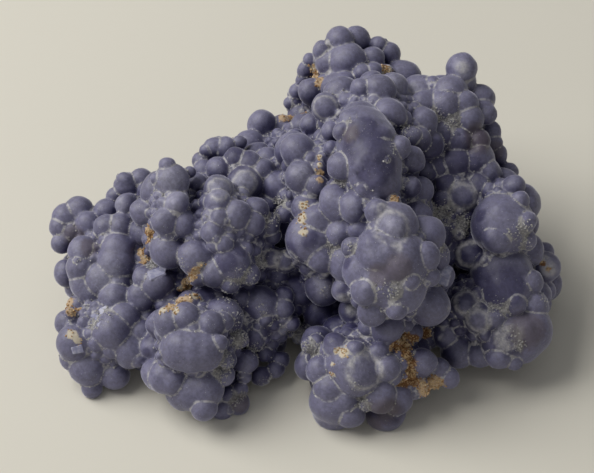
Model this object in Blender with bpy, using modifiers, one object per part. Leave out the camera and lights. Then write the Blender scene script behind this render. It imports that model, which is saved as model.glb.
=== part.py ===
"""Fluorite specimen: one grown-together mass of round, grape-like crystal globules.

The mass stands on a few lumps that end flat at the surface it rests on. Its coarse form is a set
of ellipsoid lobes. The globules on the front are read from one view of the specimen and lifted
onto the lobes along the view's rays. The globules on the sides, back and underside follow a
seeded, even scatter over the same lobes.
Metres, +X to the right of that view, +Y away from it, +Z up. The origin is under the middle.
"""

import math
import random

import bmesh
import bpy
from mathutils import Matrix, Vector

MM = 0.001

# Driving dimensions of the specimen and of the view it was read from. TO_ORIGIN moves the form
# so that the origin is under the middle of its box.
SPECIMEN_WIDTH = 102.0 * MM
WIDTH_IN_VIEW = 509.0
PIXEL = SPECIMEN_WIDTH / WIDTH_IN_VIEW
VIEW_SIZE = (594.0, 473.0)
VIEW_DISTANCE = 300.0 * MM
VIEW_ELEVATION = math.radians(45.0)
TO_ORIGIN = Vector((-0.62, -1.31, 0.0)) * MM
VIEW_TARGET = Vector((-1.3, -3.0, 19.2)) * MM + TO_ORIGIN

# Coarse form: middle and half sizes of each lobe
LOBES = {
    "dome": ((13, 0, 26), (11, 16, 18)),
    "crest": ((27.5, 16, 29), (10, 9, 12)),
    "crest_base": ((29, 9, 20), (13.5, 11, 13)),
    "shoulder": ((14, 11, 31), (13, 12, 14)),
    "left_cheek": ((3, 3, 26), (9, 12, 12)),
    "back_lobe": ((11, 28, 26), (12, 11, 14)),
    "boss": ((17, -17, 22), (10, 10, 14)),
    "front_foot": ((12, -27, 8), (12, 9, 9)),
    "right_flank": ((39, -2, 17), (7, 12, 14.5)),
    "spur": ((46.5, -5, 9.5), (4.5, 6, 7)),
    "right_skirt": ((36, -15, 11), (12, 9, 7)),
    "hollow": ((27, 2, 16), (13, 10, 12)),
    "strip": ((4, -7, 21), (8, 9, 11)),
    "strip_foot": ((1, -4, 11), (9, 8, 9)),
    "ridge": ((-16, -5, 18), (11, 13, 15)),
    "ridge_back": ((-12, 6, 20), (10, 10, 12)),
    "column": ((-26, -4, 19), (7, 9, 15)),
    "saddle": ((-27, -10, 12), (9, 9, 9)),
    "left_foot": ((-21, -25, 10), (9, 9, 11)),
    "left_arm": ((-38, -3, 12), (10, 11, 10)),
    "left_arm_back": ((-33, 2, 16), (8, 8, 9)),
    "left_skirt": ((-38, -18, 7.5), (10, 9, 8)),
    "recess": ((-8, -11, 9), (9, 12, 8)),
    "link": ((-4, 1, 12), (12, 12, 10)),
    "bridge": ((-2, 18, 19), (11, 9, 10)),
    "back_foot": ((16, 18, 12), (13, 11, 12)),
    "right_rear": ((34, 6, 11), (11, 11, 11)),
    "belly": ((11, -1, 9), (16, 17, 9)),
}

# Globules read from the view: picture x and y of the middle, and radius, in picture pixels
SEEN_GLOBULES = {
    "left arm": (
        (79, 210, 14), (66, 217, 13), (60, 227, 11), (72, 232, 14), (88, 224, 11), (62, 243, 11),
        (83, 251, 12), (82, 268, 13), (66, 273, 12), (107, 212, 12), (120, 229, 13), (107, 228, 11),
        (118, 249, 12), (117, 263, 14), (102, 280, 13), (85, 284, 13), (119, 281, 10),
        (93, 290, 14), (116, 299, 14), (142, 297, 13), (125, 318, 12), (127, 187, 14),
        (124, 180, 8), (142, 180, 12), (115, 196, 9), (148, 192, 9), (127, 205, 10),
    ),
    "left skirt": (
        (113, 331, 15), (75, 343, 15), (73, 357, 12), (88, 367, 16), (92, 388, 10), (115, 374, 14),
        (131, 349, 15), (142, 332, 12), (139, 359, 9), (148, 320, 10), (72, 313, 5),
    ),
    "column": (
        (168, 165, 8), (172, 181, 15), (156, 178, 5), (177, 203, 9), (165, 222, 10.5),
        (184, 224, 11), (168, 250, 14), (146, 278, 10), (158, 284, 13), (195, 258, 14),
        (190, 172, 6), (196, 185, 11),
    ),
    "ridge": (
        (251, 146, 14), (240, 142, 7), (226, 149, 12), (214, 147, 10), (207, 150, 7),
        (202, 161, 10), (220, 170, 11), (205, 172, 11), (236, 160, 10), (219, 189, 12),
        (245, 184, 14), (262, 171, 11), (249, 163, 10), (218, 204, 11), (237, 216, 12),
        (256, 209, 10), (270, 205, 11), (253, 224, 10), (268, 224, 10), (272, 235, 8),
        (284, 215, 8), (283, 235, 8), (213, 232, 9), (224, 244, 7), (220, 218, 8), (231, 262, 15),
        (215, 272, 12), (249, 274, 9), (262, 124, 14),
    ),
    "left foot": (
        (206, 299, 14), (200, 275, 9), (163, 305, 6), (171, 322, 14), (185, 318, 12),
        (210, 324, 11), (222, 322, 9), (181, 349, 16), (192, 350, 17), (203, 350, 16),
        (218, 343, 9), (157, 374, 14), (165, 377, 14), (173, 381, 12), (183, 393, 15),
        (193, 391, 17), (203, 388, 18), (225, 375, 9), (228, 395, 10), (204, 407, 13),
        (222, 409, 12), (238, 404, 11), (240, 390, 8), (160, 355, 4),
    ),
    "recess": (
        (230, 283, 8), (260, 304, 14), (240, 298, 8), (238, 321, 9), (240, 340, 8), (254, 339, 9),
        (226, 360, 6), (246, 362, 12), (264, 352, 8), (245, 377, 7), (261, 376, 10), (275, 370, 9),
        (280, 360, 9),
    ),
    "back lobe": (
        (340, 40, 13), (356, 40, 14), (322, 51, 9), (331, 62, 13), (347, 62, 16), (378, 46, 9),
        (389, 54, 11), (372, 58, 10), (373, 73, 8), (362, 75, 8), (305, 70, 8), (310, 60, 7),
        (296, 102, 8), (303, 80, 7), (297, 91, 8), (290, 104, 7),
    ),
    "shoulder": (
        (327, 108, 13), (311, 92, 11), (336, 88, 11), (345, 85, 10), (361, 89, 9), (386, 71, 6),
        (401, 81, 18), (380, 90, 13), (342, 132, 9), (389, 113, 12), (312, 125, 12), (331, 131, 8),
        (331, 148, 7), (298, 151, 15), (301, 177, 13), (317, 185, 8), (342, 166, 12),
        (361, 122, 19), (363, 133, 22), (367, 143, 24), (368, 154, 22), (372, 163, 23),
        (374, 173, 20), (377, 182, 18),
    ),
    "crest": (
        (461, 69, 15), (463, 82, 13), (432, 84, 8), (449, 92, 14), (479, 99, 15), (487, 115, 10),
        (425, 106, 12), (408, 138, 9), (490, 131, 10), (492, 144, 10), (498, 155, 10),
        (509, 171, 9), (475, 160, 16), (412, 160, 12), (445, 105, 12), (468, 120, 12),
        (455, 140, 13), (440, 135, 12), (430, 145, 11), (424, 122, 12), (463, 104, 12),
        (480, 112, 13), (455, 163, 13), (437, 167, 12), (478, 142, 12), (487, 172, 11),
        (400, 148, 10), (423, 172, 11), (418, 140, 10),
    ),
    "hollow": (
        (462, 197, 15), (478, 186, 10), (445, 184, 8), (420, 190, 12), (410, 187, 9), (425, 210, 8),
        (441, 200, 7), (460, 234, 4), (440, 236, 10), (445, 256, 10), (427, 256, 11),
        (471, 254, 15), (486, 262, 6),
    ),
    "strip": (
        (308, 208, 12), (318, 222, 14), (310, 240, 19), (322, 256, 12), (337, 203, 15),
        (354, 207, 12), (342, 233, 13), (352, 247, 9), (361, 230, 9), (273, 258, 11),
        (286, 260, 12), (277, 276, 9), (284, 296, 8), (283, 308, 8), (292, 324, 6), (299, 336, 7),
        (308, 345, 7), (298, 290, 14), (324, 287, 16), (320, 313, 14), (308, 331, 9), (316, 345, 9),
    ),
    "boss": (
        (378, 212, 12), (393, 227, 20), (395, 228, 13), (395, 200, 5), (414, 217, 16),
        (383, 256, 23), (397, 262, 24), (383, 278, 24), (397, 286, 23), (367, 270, 19),
        (366, 291, 15), (373, 310, 13), (393, 290, 10), (397, 308, 11), (367, 328, 8),
        (386, 328, 15), (428, 276, 9), (410, 280, 9), (430, 305, 18), (428, 335, 14),
        (422, 362, 12), (438, 370, 12), (449, 377, 10),
    ),
    "front foot": (
        (336, 345, 10), (355, 350, 10), (353, 364, 20), (357, 371, 20), (320, 370, 11),
        (331, 387, 14), (335, 400, 22), (334, 409, 21), (350, 413, 14), (366, 405, 6),
        (385, 411, 20), (380, 395, 14), (397, 398, 14), (345, 400, 12), (385, 368, 11),
        (378, 352, 8),
    ),
    "right flank": (
        (502, 224, 23), (498, 238, 15), (514, 186, 10), (520, 200, 9), (525, 222, 11),
        (528, 240, 9), (502, 274, 24), (503, 291, 24), (531, 281, 9), (533, 305, 13),
        (545, 267, 12), (545, 290, 9), (515, 304, 9),
    ),
    "right skirt": (
        (465, 306, 11), (478, 317, 12), (485, 333, 5), (493, 318, 9), (506, 338, 21),
        (517, 336, 23), (528, 330, 20), (458, 350, 17), (480, 352, 15), (500, 356, 13),
        (514, 362, 8),
    ),
}

# Globules seen in the view: the ring where one meets the lobe is read from the view. The globule
# itself is larger and sits deeper, the more so where the lobe faces the view. One that is under
# BUD_LARGEST_SHARE of the size of another that would hide it keeps to its ring and comes forward
# until BUD_SHOWS of its radius shows.
SILHOUETTE_SWELL = 1.05
FACING_SWELL = 0.32
BUD_SHOWS = 0.3
BUD_LARGEST_SHARE = 0.72

# Globules away from the view: their radii, how many places are tried on each lobe, how far apart
# two neighbours stand as a share of their two radii, how deep one sits as a share of its radius,
# how far the lobe may face the view there, how deep in a lobe one is out of sight, and how high
# the lowest ones stand as a share of their radius
SCATTER_RADII = (2.6 * MM, 4.3 * MM)
SCATTER_TRIES = 420
SCATTER_SPACING = 0.62
SCATTER_SINK = 0.3
SCATTER_TURN = 0.3
SCATTER_FACING = 0.12
BURIED_DEPTH = 2.4 * MM
LOWEST_SHARE = 0.35
SEED = 11

# Solid: how far the lobes' cores lie under their surface, the grid that joins the lumps, the
# number of flat faces that is left, and how finely each round lump starts
CORE_DEPTH = 1.5 * MM
JOINING_GRID = 0.9 * MM
FACE_COUNT = 9300
GLOBULE_SUBDIVISIONS = 3

# Finish: a plain frosted violet
VIOLET = (0.115, 0.108, 0.19, 1.0)
FROSTED_ROUGHNESS = 0.55


class Lobe:
    """One ellipsoid of the coarse form."""

    def __init__(self, middle, half_sizes):
        self.middle = Vector(middle) * MM + TO_ORIGIN
        self.half_sizes = Vector(half_sizes) * MM

    def scaled(self, point):
        """Gives the point in the space where the lobe is a unit sphere."""
        offset = point - self.middle
        return Vector([offset[axis] / self.half_sizes[axis] for axis in range(3)])

    def surface_point(self, direction):
        """Gives the point of the surface that lies along a unit direction of that space."""
        return self.middle + Vector([direction[axis] * self.half_sizes[axis] for axis in range(3)])

    def normal(self, point):
        """Gives the outward unit normal at a point of the surface."""
        scaled = self.scaled(point)
        return Vector([scaled[axis] / self.half_sizes[axis] for axis in range(3)]).normalized()

    def depth(self, point):
        """Gives roughly how deep a point lies inside the lobe, less than 0 outside."""
        return (1.0 - self.scaled(point).length) * min(self.half_sizes)

    def first_hit(self, origin, direction):
        """Gives the distance at which a ray enters the lobe, or None, and its closest pass."""
        start = self.scaled(origin)
        step = Vector([direction[axis] / self.half_sizes[axis] for axis in range(3)])
        closest = -start.dot(step) / step.dot(step)
        miss = (start + step * closest).length
        if miss >= 1.0:
            return None, (miss, closest)
        return closest - math.sqrt((1.0 - miss * miss) / step.dot(step)), (miss, closest)


class View:
    """The view that the front globules were read from."""

    def __init__(self):
        self.forward = Vector((0.0, math.cos(VIEW_ELEVATION), -math.sin(VIEW_ELEVATION)))
        self.up = Vector((0.0, math.sin(VIEW_ELEVATION), math.cos(VIEW_ELEVATION)))
        self.right = Vector((1.0, 0.0, 0.0))
        self.origin = VIEW_TARGET - self.forward * VIEW_DISTANCE
        self.pixels_per_slope = VIEW_DISTANCE / PIXEL

    def ray(self, x, y):
        """Gives the unit direction of the ray through a picture position."""
        across = (x - VIEW_SIZE[0] / 2) / self.pixels_per_slope
        upward = (VIEW_SIZE[1] / 2 - y) / self.pixels_per_slope
        return (self.forward + self.right * across + self.up * upward).normalized()

    def real_size(self, pixels, distance):
        """Gives the real length of some picture pixels at a distance."""
        return pixels * distance / self.pixels_per_slope


def first_lobe(lobes, origin, direction):
    """Gives how far along a ray the first lobe is, or the one it passes closest, and which it is."""
    hits = [lobe.first_hit(origin, direction) for lobe in lobes]
    entered = [(hit, index) for index, (hit, _) in enumerate(hits) if hit is not None]
    if entered:
        return min(entered)
    (_, distance), index = min((passing, index) for index, (_, passing) in enumerate(hits))
    return distance, index


def seen_globules(lobes, view):
    """Lifts each globule read from the view onto the first lobe that its ray meets."""
    placed = []
    for readings in SEEN_GLOBULES.values():
        for x, y, pixels in readings:
            direction = view.ray(x, y)
            distance, nearest = first_lobe(lobes, view.origin, direction)
            entry = view.origin + direction * distance
            facing = max(0.0, -lobes[nearest].normal(entry).dot(direction))
            swell = SILHOUETTE_SWELL + FACING_SWELL * facing
            ring = view.real_size(pixels, distance)
            depth = ring * math.sqrt(swell * swell - 1.0)
            placed.append([entry + direction * depth, swell * ring, ring])
    placed.sort(key=lambda globule: -globule[1])
    for index, globule in enumerate(placed):
        bring_forward(globule, placed[:index], view)
    return [(middle, radius) for middle, radius, _ in placed]


def bring_forward(globule, larger_ones, view):
    """Keeps a globule that larger ones hide to its ring, and moves it forward until it shows."""
    middle, radius, ring = globule
    towards = (view.origin - middle).normalized()
    carriers = [each for each in larger_ones if radius < BUD_LARGEST_SHARE * each[1]]
    for larger_middle, larger_radius, _ in carriers:
        if (middle + towards * radius - larger_middle).length < larger_radius:
            radius = SILHOUETTE_SWELL * ring
    for larger_middle, larger_radius, _ in carriers:
        reach = larger_radius + BUD_SHOWS * radius
        front = middle + towards * radius - larger_middle
        if front.length >= reach:
            continue
        along = front.dot(towards)
        shift = -along + math.sqrt(along * along + reach * reach - front.length_squared)
        middle = middle + towards * shift
    globule[0] = middle
    globule[1] = radius


def is_buried(point, lobe, lobes, depth):
    """Tells whether a point of one lobe lies deep inside another."""
    return any(other.depth(point) > depth for other in lobes if other is not lobe)


def stands_clear(point, radius, other):
    """Tells whether a new globule keeps its distance from one that is there."""
    return (point - other[0]).length > SCATTER_SPACING * (radius + other[1])


def even_directions(count, chance):
    """Gives unit directions spread evenly over a sphere, each turned a little at random."""
    golden = math.pi * (3.0 - math.sqrt(5.0))
    for index in range(count):
        height = 1.0 - 2.0 * (index + 0.5) / count
        angle = index * golden + chance.uniform(-SCATTER_TURN, SCATTER_TURN)
        ring = math.sqrt(1.0 - height * height)
        yield Vector((ring * math.cos(angle), ring * math.sin(angle), height))


def scatter_globules(lobes, view, placed, chance):
    """Covers the parts of the lobes that the view doesn't reach with globules of its own."""
    globules = list(placed)
    for lobe in lobes:
        directions = list(even_directions(SCATTER_TRIES, chance))
        chance.shuffle(directions)
        for direction in directions:
            point = lobe.surface_point(direction)
            if is_buried(point, lobe, lobes, BURIED_DEPTH):
                continue
            if lobe.normal(point).dot((view.origin - point).normalized()) > SCATTER_FACING:
                continue
            radius = chance.uniform(*SCATTER_RADII)
            if point.z < LOWEST_SHARE * radius:
                continue
            middle = point - lobe.normal(point) * (SCATTER_SINK * radius)
            if all(stands_clear(middle, radius, other) for other in globules):
                globules.append((middle, radius))
    return globules


def add_lump(bm, template, middle, half_sizes):
    """Adds a closed round lump to a mesh: the template sphere, sized and moved."""
    lump = template.copy()
    lump.transform(Matrix.LocRotScale(middle, None, half_sizes))
    bm.from_mesh(lump)
    bpy.data.meshes.remove(lump)


def lumps_mesh(lobes, globules):
    """Gives one mesh of all the lumps: the lobes' cores and every globule, still overlapping."""
    template = bpy.data.meshes.new("unit_globule")
    round_one = bmesh.new()
    bmesh.ops.create_icosphere(round_one, subdivisions=GLOBULE_SUBDIVISIONS, radius=1.0)
    round_one.to_mesh(template)
    round_one.free()
    bm = bmesh.new()
    inset = Vector((CORE_DEPTH, CORE_DEPTH, CORE_DEPTH))
    for lobe in lobes:
        add_lump(bm, template, lobe.middle, lobe.half_sizes - inset)
    for middle, radius in globules:
        add_lump(bm, template, middle, Vector((radius, radius, radius)))
    mesh = bpy.data.meshes.new("lumps")
    bm.to_mesh(mesh)
    bm.free()
    bpy.data.meshes.remove(template)
    return mesh


def evaluated_mesh(obj):
    """Gives a new mesh of an object with its modifiers applied."""
    graph = bpy.context.evaluated_depsgraph_get()
    return bpy.data.meshes.new_from_object(obj.evaluated_get(graph), depsgraph=graph)


def largest_shell(mesh):
    """Keeps only the outer skin of a mesh, without the closed voids between its lumps."""
    bm = bmesh.new()
    bm.from_mesh(mesh)
    unvisited = set(bm.verts)
    shells = []
    while unvisited:
        front = [unvisited.pop()]
        shell = list(front)
        while front:
            vert = front.pop()
            for edge in vert.link_edges:
                other = edge.other_vert(vert)
                if other in unvisited:
                    unvisited.remove(other)
                    front.append(other)
                    shell.append(other)
        shells.append(shell)
    shells.sort(key=len)
    bmesh.ops.delete(bm, geom=[vert for shell in shells[:-1] for vert in shell], context="VERTS")
    bm.to_mesh(mesh)
    bm.free()


def grown_skin(lobes, globules):
    """Joins the overlapping lumps into one closed skin with few flat faces."""
    lumps = bpy.data.objects.new("lumps", lumps_mesh(lobes, globules))
    bpy.context.scene.collection.objects.link(lumps)
    joining = lumps.modifiers.new("grown_together", "REMESH")
    joining.mode = "VOXEL"
    joining.voxel_size = JOINING_GRID
    skin = evaluated_mesh(lumps)
    largest_shell(skin)
    lumps.modifiers.clear()
    lumps.data = skin
    thinning = lumps.modifiers.new("few_faces", "DECIMATE")
    thinning.ratio = FACE_COUNT / sum(len(face.vertices) - 2 for face in skin.polygons)
    thinned = evaluated_mesh(lumps)
    bpy.data.objects.remove(lumps)
    return thinned


def stone_material():
    """Makes the plain violet finish of the crystal mass."""
    material = bpy.data.materials.new("violet_fluorite")
    material.use_nodes = True
    shader = material.node_tree.nodes["Principled BSDF"]
    shader.inputs["Base Color"].default_value = VIOLET
    shader.inputs["Roughness"].default_value = FROSTED_ROUGHNESS
    shader.inputs["Metallic"].default_value = 0.0
    return material


def resting_cut(specimen, cutters):
    """Ends the lowest lumps flat at the surface that the mass rests on."""
    size = 2.0 * SPECIMEN_WIDTH
    bpy.ops.mesh.primitive_cube_add(size=size, location=(0.0, 0.0, -size / 2))
    cutter = bpy.context.object
    cutter.name = "resting_surface"
    cutter.hide_render = True
    cutter.display_type = "WIRE"
    for owner in list(cutter.users_collection):
        owner.objects.unlink(cutter)
    cutters.objects.link(cutter)
    cut = specimen.modifiers.new("flat_feet", "BOOLEAN")
    cut.operation = "DIFFERENCE"
    cut.solver = "EXACT"
    cut.object = cutter


def build_specimen():
    """Models the whole mass as one object that stands on its flat feet."""
    for leftover in list(bpy.data.objects):
        bpy.data.objects.remove(leftover)
    collection = bpy.data.collections.new("fluorite_specimen")
    cutters = bpy.data.collections.new("cutters")
    for each in (collection, cutters):
        bpy.context.scene.collection.children.link(each)
    lobes = [Lobe(*form) for form in LOBES.values()]
    view = View()
    placed = seen_globules(lobes, view)
    globules = scatter_globules(lobes, view, placed, random.Random(SEED))
    mesh = grown_skin(lobes, globules)
    mesh.name = "botryoidal_mass"
    mesh.shade_smooth()
    mesh.materials.append(stone_material())
    specimen = bpy.data.objects.new("botryoidal_mass", mesh)
    collection.objects.link(specimen)
    resting_cut(specimen, cutters)


build_specimen()
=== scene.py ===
"""Dresses the fluorite specimen: a violet mass of frosted, grape-like crystal globules.

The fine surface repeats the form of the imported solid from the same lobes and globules, adds the
small globules, crusts and crystals that the solid leaves out, and stands in for it.
"""

import logging
import math
import random
from dataclasses import dataclass, field
from enum import Enum
from typing import Iterable, Iterator, Sequence

import bmesh
import bpy
import numpy as np
from mathutils import Matrix, Vector, noise
from mathutils.bvhtree import BVHTree


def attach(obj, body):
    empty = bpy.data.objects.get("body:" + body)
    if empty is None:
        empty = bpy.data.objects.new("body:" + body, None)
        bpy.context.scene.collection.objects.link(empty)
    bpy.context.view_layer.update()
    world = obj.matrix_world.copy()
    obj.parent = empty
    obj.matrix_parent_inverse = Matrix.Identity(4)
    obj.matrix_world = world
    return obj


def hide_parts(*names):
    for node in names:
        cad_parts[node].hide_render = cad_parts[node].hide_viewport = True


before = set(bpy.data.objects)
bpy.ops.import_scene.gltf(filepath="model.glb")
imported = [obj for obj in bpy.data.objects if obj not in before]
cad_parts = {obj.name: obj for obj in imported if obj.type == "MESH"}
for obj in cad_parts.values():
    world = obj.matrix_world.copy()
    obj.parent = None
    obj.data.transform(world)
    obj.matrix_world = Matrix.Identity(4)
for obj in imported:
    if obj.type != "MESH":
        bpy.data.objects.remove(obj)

LOG = logging.getLogger("fluorite_specimen")
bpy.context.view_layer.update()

MM = 0.001
NODE = "botryoidal_mass"
UNIT_CUBE_SIDE = 1.6

# The specimen and the view it was read from, as in the part's source
SPECIMEN_WIDTH = 102.0 * MM
WIDTH_IN_VIEW = 509.0
PIXEL = SPECIMEN_WIDTH / WIDTH_IN_VIEW
VIEW_SIZE = (594.0, 473.0)
VIEW_DISTANCE = 300.0 * MM
VIEW_ELEVATION = math.radians(45.0)
TO_ORIGIN = Vector((-0.62, -1.31, 0.0)) * MM
VIEW_TARGET = Vector((-1.3, -3.0, 19.2)) * MM + TO_ORIGIN

# Coarse form: middle and half sizes of each lobe, in millimetres
LOBES: dict[str, tuple] = {
    "dome": ((13, 0, 26), (11, 16, 18)),
    "crest": ((27.5, 16, 29), (10, 9, 12)),
    "crest_base": ((29, 9, 20), (13.5, 11, 13)),
    "shoulder": ((14, 11, 31), (13, 12, 14)),
    "left_cheek": ((3, 3, 26), (9, 12, 12)),
    "back_lobe": ((11, 28, 26), (12, 11, 14)),
    "boss": ((17, -17, 22), (10, 10, 14)),
    "front_foot": ((12, -27, 8), (12, 9, 9)),
    "right_flank": ((39, -2, 17), (7, 12, 14.5)),
    "spur": ((46.5, -5, 9.5), (4.5, 6, 7)),
    "right_skirt": ((36, -15, 11), (12, 9, 7)),
    "hollow": ((27, 2, 16), (13, 10, 12)),
    "strip": ((4, -7, 21), (8, 9, 11)),
    "strip_foot": ((1, -4, 11), (9, 8, 9)),
    "ridge": ((-16, -5, 18), (11, 13, 15)),
    "ridge_back": ((-12, 6, 20), (10, 10, 12)),
    "column": ((-26, -4, 19), (7, 9, 15)),
    "saddle": ((-27, -10, 12), (9, 9, 9)),
    "left_foot": ((-21, -25, 10), (9, 9, 11)),
    "left_arm": ((-38, -3, 12), (10, 11, 10)),
    "left_arm_back": ((-33, 2, 16), (8, 8, 9)),
    "left_skirt": ((-38, -18, 7.5), (10, 9, 8)),
    "recess": ((-8, -11, 9), (9, 12, 8)),
    "link": ((-4, 1, 12), (12, 12, 10)),
    "bridge": ((-2, 18, 19), (11, 9, 10)),
    "back_foot": ((16, 18, 12), (13, 11, 12)),
    "right_rear": ((34, 6, 11), (11, 11, 11)),
    "belly": ((11, -1, 9), (16, 17, 9)),
}

# Globules read from the view: picture x and y of the middle, and radius, in picture pixels
SEEN_GLOBULES: dict[str, tuple] = {
    "left arm": (
        (79, 210, 14), (66, 217, 13), (60, 227, 11), (72, 232, 14), (88, 224, 11), (62, 243, 11),
        (83, 251, 12), (82, 268, 13), (66, 273, 12), (107, 212, 12), (120, 229, 13), (107, 228, 11),
        (118, 249, 12), (117, 263, 14), (102, 280, 13), (85, 284, 13), (119, 281, 10),
        (93, 290, 14), (116, 299, 14), (142, 297, 13), (125, 318, 12), (127, 187, 14),
        (124, 180, 8), (142, 180, 12), (115, 196, 9), (148, 192, 9), (127, 205, 10),
    ),
    "left skirt": (
        (113, 331, 15), (75, 343, 15), (73, 357, 12), (88, 367, 16), (92, 388, 10), (115, 374, 14),
        (131, 349, 15), (142, 332, 12), (139, 359, 9), (148, 320, 10), (72, 313, 5),
    ),
    "column": (
        (168, 165, 8), (172, 181, 15), (156, 178, 5), (177, 203, 9), (165, 222, 10.5),
        (184, 224, 11), (168, 250, 14), (146, 278, 10), (158, 284, 13), (195, 258, 14),
        (190, 172, 6), (196, 185, 11),
    ),
    "ridge": (
        (251, 146, 14), (240, 142, 7), (226, 149, 12), (214, 147, 10), (207, 150, 7),
        (202, 161, 10), (220, 170, 11), (205, 172, 11), (236, 160, 10), (219, 189, 12),
        (245, 184, 14), (262, 171, 11), (249, 163, 10), (218, 204, 11), (237, 216, 12),
        (256, 209, 10), (270, 205, 11), (253, 224, 10), (268, 224, 10), (272, 235, 8),
        (284, 215, 8), (283, 235, 8), (213, 232, 9), (224, 244, 7), (220, 218, 8), (231, 262, 15),
        (215, 272, 12), (249, 274, 9), (262, 124, 14),
    ),
    "left foot": (
        (206, 299, 14), (200, 275, 9), (163, 305, 6), (171, 322, 14), (185, 318, 12),
        (210, 324, 11), (222, 322, 9), (181, 349, 16), (192, 350, 17), (203, 350, 16),
        (218, 343, 9), (157, 374, 14), (165, 377, 14), (173, 381, 12), (183, 393, 15),
        (193, 391, 17), (203, 388, 18), (225, 375, 9), (228, 395, 10), (204, 407, 13),
        (222, 409, 12), (238, 404, 11), (240, 390, 8), (160, 355, 4),
    ),
    "recess": (
        (230, 283, 8), (260, 304, 14), (240, 298, 8), (238, 321, 9), (240, 340, 8), (254, 339, 9),
        (226, 360, 6), (246, 362, 12), (264, 352, 8), (245, 377, 7), (261, 376, 10), (275, 370, 9),
        (280, 360, 9),
    ),
    "back lobe": (
        (340, 40, 13), (356, 40, 14), (322, 51, 9), (331, 62, 13), (347, 62, 16), (378, 46, 9),
        (389, 54, 11), (372, 58, 10), (373, 73, 8), (362, 75, 8), (305, 70, 8), (310, 60, 7),
        (296, 102, 8), (303, 80, 7), (297, 91, 8), (290, 104, 7),
    ),
    "shoulder": (
        (327, 108, 13), (311, 92, 11), (336, 88, 11), (345, 85, 10), (361, 89, 9), (386, 71, 6),
        (401, 81, 18), (380, 90, 13), (342, 132, 9), (389, 113, 12), (312, 125, 12), (331, 131, 8),
        (331, 148, 7), (298, 151, 15), (301, 177, 13), (317, 185, 8), (342, 166, 12),
        (361, 122, 19), (363, 133, 22), (367, 143, 24), (368, 154, 22), (372, 163, 23),
        (374, 173, 20), (377, 182, 18),
    ),
    "crest": (
        (461, 69, 15), (463, 82, 13), (432, 84, 8), (449, 92, 14), (479, 99, 15), (487, 115, 10),
        (425, 106, 12), (408, 138, 9), (490, 131, 10), (492, 144, 10), (498, 155, 10),
        (509, 171, 9), (475, 160, 16), (412, 160, 12), (445, 105, 12), (468, 120, 12),
        (455, 140, 13), (440, 135, 12), (430, 145, 11), (424, 122, 12), (463, 104, 12),
        (480, 112, 13), (455, 163, 13), (437, 167, 12), (478, 142, 12), (487, 172, 11),
        (400, 148, 10), (423, 172, 11), (418, 140, 10),
    ),
    "hollow": (
        (462, 197, 15), (478, 186, 10), (445, 184, 8), (420, 190, 12), (410, 187, 9), (425, 210, 8),
        (441, 200, 7), (460, 234, 4), (440, 236, 10), (445, 256, 10), (427, 256, 11),
        (471, 254, 15), (486, 262, 6),
    ),
    "strip": (
        (308, 208, 12), (318, 222, 14), (310, 240, 19), (322, 256, 12), (337, 203, 15),
        (354, 207, 12), (342, 233, 13), (352, 247, 9), (361, 230, 9), (273, 258, 11),
        (286, 260, 12), (277, 276, 9), (284, 296, 8), (283, 308, 8), (292, 324, 6), (299, 336, 7),
        (308, 345, 7), (298, 290, 14), (324, 287, 16), (320, 313, 14), (308, 331, 9), (316, 345, 9),
    ),
    "boss": (
        (378, 212, 12), (393, 227, 20), (395, 228, 13), (395, 200, 5), (414, 217, 16),
        (383, 256, 23), (397, 262, 24), (383, 278, 24), (397, 286, 23), (367, 270, 19),
        (366, 291, 15), (373, 310, 13), (393, 290, 10), (397, 308, 11), (367, 328, 8),
        (386, 328, 15), (428, 276, 9), (410, 280, 9), (430, 305, 18), (428, 335, 14),
        (422, 362, 12), (438, 370, 12), (449, 377, 10),
    ),
    "front foot": (
        (336, 345, 10), (355, 350, 10), (353, 364, 20), (357, 371, 20), (320, 370, 11),
        (331, 387, 14), (335, 400, 22), (334, 409, 21), (350, 413, 14), (366, 405, 6),
        (385, 411, 20), (380, 395, 14), (397, 398, 14), (345, 400, 12), (385, 368, 11),
        (378, 352, 8),
    ),
    "right flank": (
        (502, 224, 23), (498, 238, 15), (514, 186, 10), (520, 200, 9), (525, 222, 11),
        (528, 240, 9), (502, 274, 24), (503, 291, 24), (531, 281, 9), (533, 305, 13),
        (545, 267, 12), (545, 290, 9), (515, 304, 9),
    ),
    "right skirt": (
        (465, 306, 11), (478, 317, 12), (485, 333, 5), (493, 318, 9), (506, 338, 21),
        (517, 336, 23), (528, 330, 20), (458, 350, 17), (480, 352, 15), (500, 356, 13),
        (514, 362, 8),
    ),
}

# How the globules sit, as in the part's source
SILHOUETTE_SWELL = 1.05
FACING_SWELL = 0.32
BUD_SHOWS = 0.3
BUD_LARGEST_SHARE = 0.72
SCATTER_RADII = (2.6 * MM, 4.3 * MM)
SCATTER_TRIES = 420
SCATTER_SPACING = 0.62
SCATTER_SINK = 0.3
SCATTER_TURN = 0.3
SCATTER_FACING = 0.12
BURIED_DEPTH = 2.4 * MM
LOWEST_SHARE = 0.35
SEED = 11
CORE_DEPTH = 1.5 * MM


class Mark(Enum):
    """Kinds of place on the mass that look unlike its frosted violet skin."""

    TAN = "tan"
    RUST = "rust"
    CREAM = "cream"
    DRUSE = "druse"
    BROWN = "brown"
    PALE = "pale"
    # Less frosted, darker stone, partly painted shade on places that fall in shade
    BARE = "bare"
    # Frosted, paler stone, partly painted light on tops and faces turned to the light
    FROST = "frost"


def ring(x: float, y: float, radius: float, width: float) -> tuple[tuple[float, float, float], ...]:
    """Gives small round places in a ring about a picture position, all sizes in picture pixels."""
    count = int(math.tau * radius / width)
    turns = [math.tau * index / count for index in range(count)]
    return tuple(
        (x + radius * math.cos(turn), y + radius * math.sin(turn), width) for turn in turns
    )


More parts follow.
